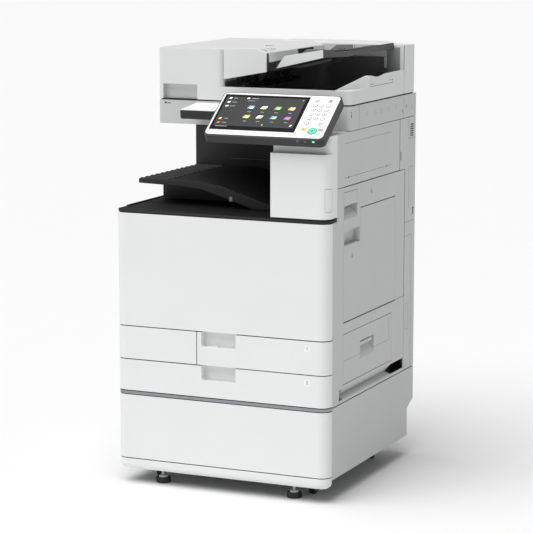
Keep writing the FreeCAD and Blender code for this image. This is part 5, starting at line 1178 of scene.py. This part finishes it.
# %% Toner caps and drum handles
INK_COLOURS = (("yellow", "#E9C92B"), ("magenta", "#C23A7E"), ("cyan", "#2E8FC4"),
               ("black", "#2A2A2C"))
BOTTLE_RADIUS, CAP_RADIUS = 32, 25
low, high = (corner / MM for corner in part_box("toner_bottles"))
drum_low, drum_high = (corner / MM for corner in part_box("drum_units"))
middle = (low.z + high.z) / 2
pitch = (high.x - low.x - 2 * BOTTLE_RADIUS) / (len(INK_COLOURS) - 1)
for index, (ink, hex_text) in enumerate(INK_COLOURS):
    x = low.x + BOTTLE_RADIUS + pitch * index
    material = moulded_plastic(f"{ink}_cap_polypropylene", hex_text, 0.45, 0.8, 0.02, 0.02, 1.49)
    bm = bmesh.new()
    disc(bm, (x, low.y - 2.4, middle), CAP_RADIUS, 5.6, "Y", 40, 2)
    brick(bm, (x - 15, low.y - 8.4, middle - 3), (x + 15, low.y - 4, middle + 3))
    soften_edges(bm, 0.8, 2, math.radians(40))
    piece(f"toner_cap_{ink}", bm, "chassis", material)
    bricks(f"drum_handle_{ink}", "chassis", material,
           [((x - 22, drum_low.y - 7, drum_high.z - 22),
             (x + 22, drum_low.y + 0.5, drum_high.z - 12))], 2)
print("bottle pitch:", round(pitch, 1), "mm")

# %% [markdown]
# The larger units inside are plain boxes and rollers in the CAD. Rounding their edges
# is enough, because they only show when a door is open. The caster wheels get the
# wide round of a rubber tyre.

# %% Units inside and caster wheels
for node, material, width in (("toner_bottles", TONER_GREY_POLYTHENE, 2.0),
                              ("drum_units", PANEL_DARK_ABS, 1.5),
                              ("transfer_belt_unit", PANEL_DARK_ABS, 1.5),
                              ("fixing_unit", PANEL_DARK_ABS, 1.5),
                              ("power_supply", ZINC_PLATED_STEEL, 1.0),
                              ("laser_unit", ZINC_PLATED_STEEL, 1.5)):
    cover(node, material, width)
for corner in CASTERS:
    cover(f"caster_wheel_{corner}", CASTER_RUBBER, 2.2)

# %% [markdown]
# The floor is a plain pale vinyl sheet, a hair below the feet so that no two faces
# fall on each other. It belongs to the stage and not to the copier.

# %% Studio floor
FLOOR_HALF, FLOOR_DROP = 30.0, 0.0005
floor_mesh = bpy.data.meshes.new("studio_floor")
bm = bmesh.new()
bmesh.ops.create_grid(bm, x_segments=1, y_segments=1, size=FLOOR_HALF)
bmesh.ops.translate(bm, vec=(0, 0, -FLOOR_DROP), verts=bm.verts)
bm.to_mesh(floor_mesh)
bm.free()
studio_floor = bpy.data.objects.new("studio_floor", floor_mesh)
bpy.context.scene.collection.objects.link(studio_floor)
floor_mesh.materials.append(moulded_plastic("pale_floor_vinyl", "#EDEDED", 0.8, 3.0, 0.02, 0.004))
print("floor:", 2 * FLOOR_HALF, "m wide")

# %% [markdown]
# The light is a soft studio. A white world lights the copier from all round, weaker
# than it looks to the camera, so that the backdrop stays white while the skin keeps
# its greys. One broad sun from the front and above makes the front and top brighter
# than the right side and draws a soft shadow.

# %% Light
BACKDROP, FILL = 1.0, 0.31
SUN_STRENGTH, SUN_SPREAD = 2.95, 60
SUN_FROM = Vector((-0.15, -0.36, 0.92))
world = bpy.data.worlds.new("studio")
world.use_nodes = True
sky = world.node_tree
sky.nodes["Background"].inputs["Color"].default_value = colour("#FFFFFF")
seen = add_node(sky, "ShaderNodeLightPath").outputs["Is Camera Ray"]
strength = add_node(sky, "ShaderNodeMapRange", sockets={"To Min": FILL, "To Max": BACKDROP},
                    links={"Value": seen})
sky.links.new(strength.outputs["Result"], sky.nodes["Background"].inputs["Strength"])
bpy.context.scene.world = world

sun_data = bpy.data.lights.new("soft_overhead", "SUN")
sun_data.energy, sun_data.angle = SUN_STRENGTH, math.radians(SUN_SPREAD)
soft_overhead = bpy.data.objects.new("soft_overhead", sun_data)
soft_overhead.rotation_euler = SUN_FROM.to_track_quat("Z", "Y").to_euler()
bpy.context.scene.collection.objects.link(soft_overhead)
print("sun:", SUN_STRENGTH, "over a fill of", FILL)

# %% [markdown]
# A long lens from six metres away keeps upright edges nearly parallel, so that the
# covers look straight. The camera stands higher than the copier and looks down a little.

# %% Camera
CAMERA_AT = mm(2476.64, -5528.61, 1563.85)
LOOK_DOWN, TURN_LEFT, LENS = 9.30, 24.114, 150.2
camera_data = bpy.data.cameras.new("studio_camera")
camera_data.sensor_width = 36
camera_data.lens = LENS
camera_data.clip_end = 100
camera = bpy.data.objects.new("studio_camera", camera_data)
camera.location = CAMERA_AT
camera.rotation_euler = (math.radians(90 - LOOK_DOWN), 0, math.radians(TURN_LEFT))
bpy.context.scene.collection.objects.link(camera)
bpy.context.scene.camera = camera
bpy.context.scene.view_settings.view_transform = "Standard"
print("lens:", camera_data.lens, "mm")
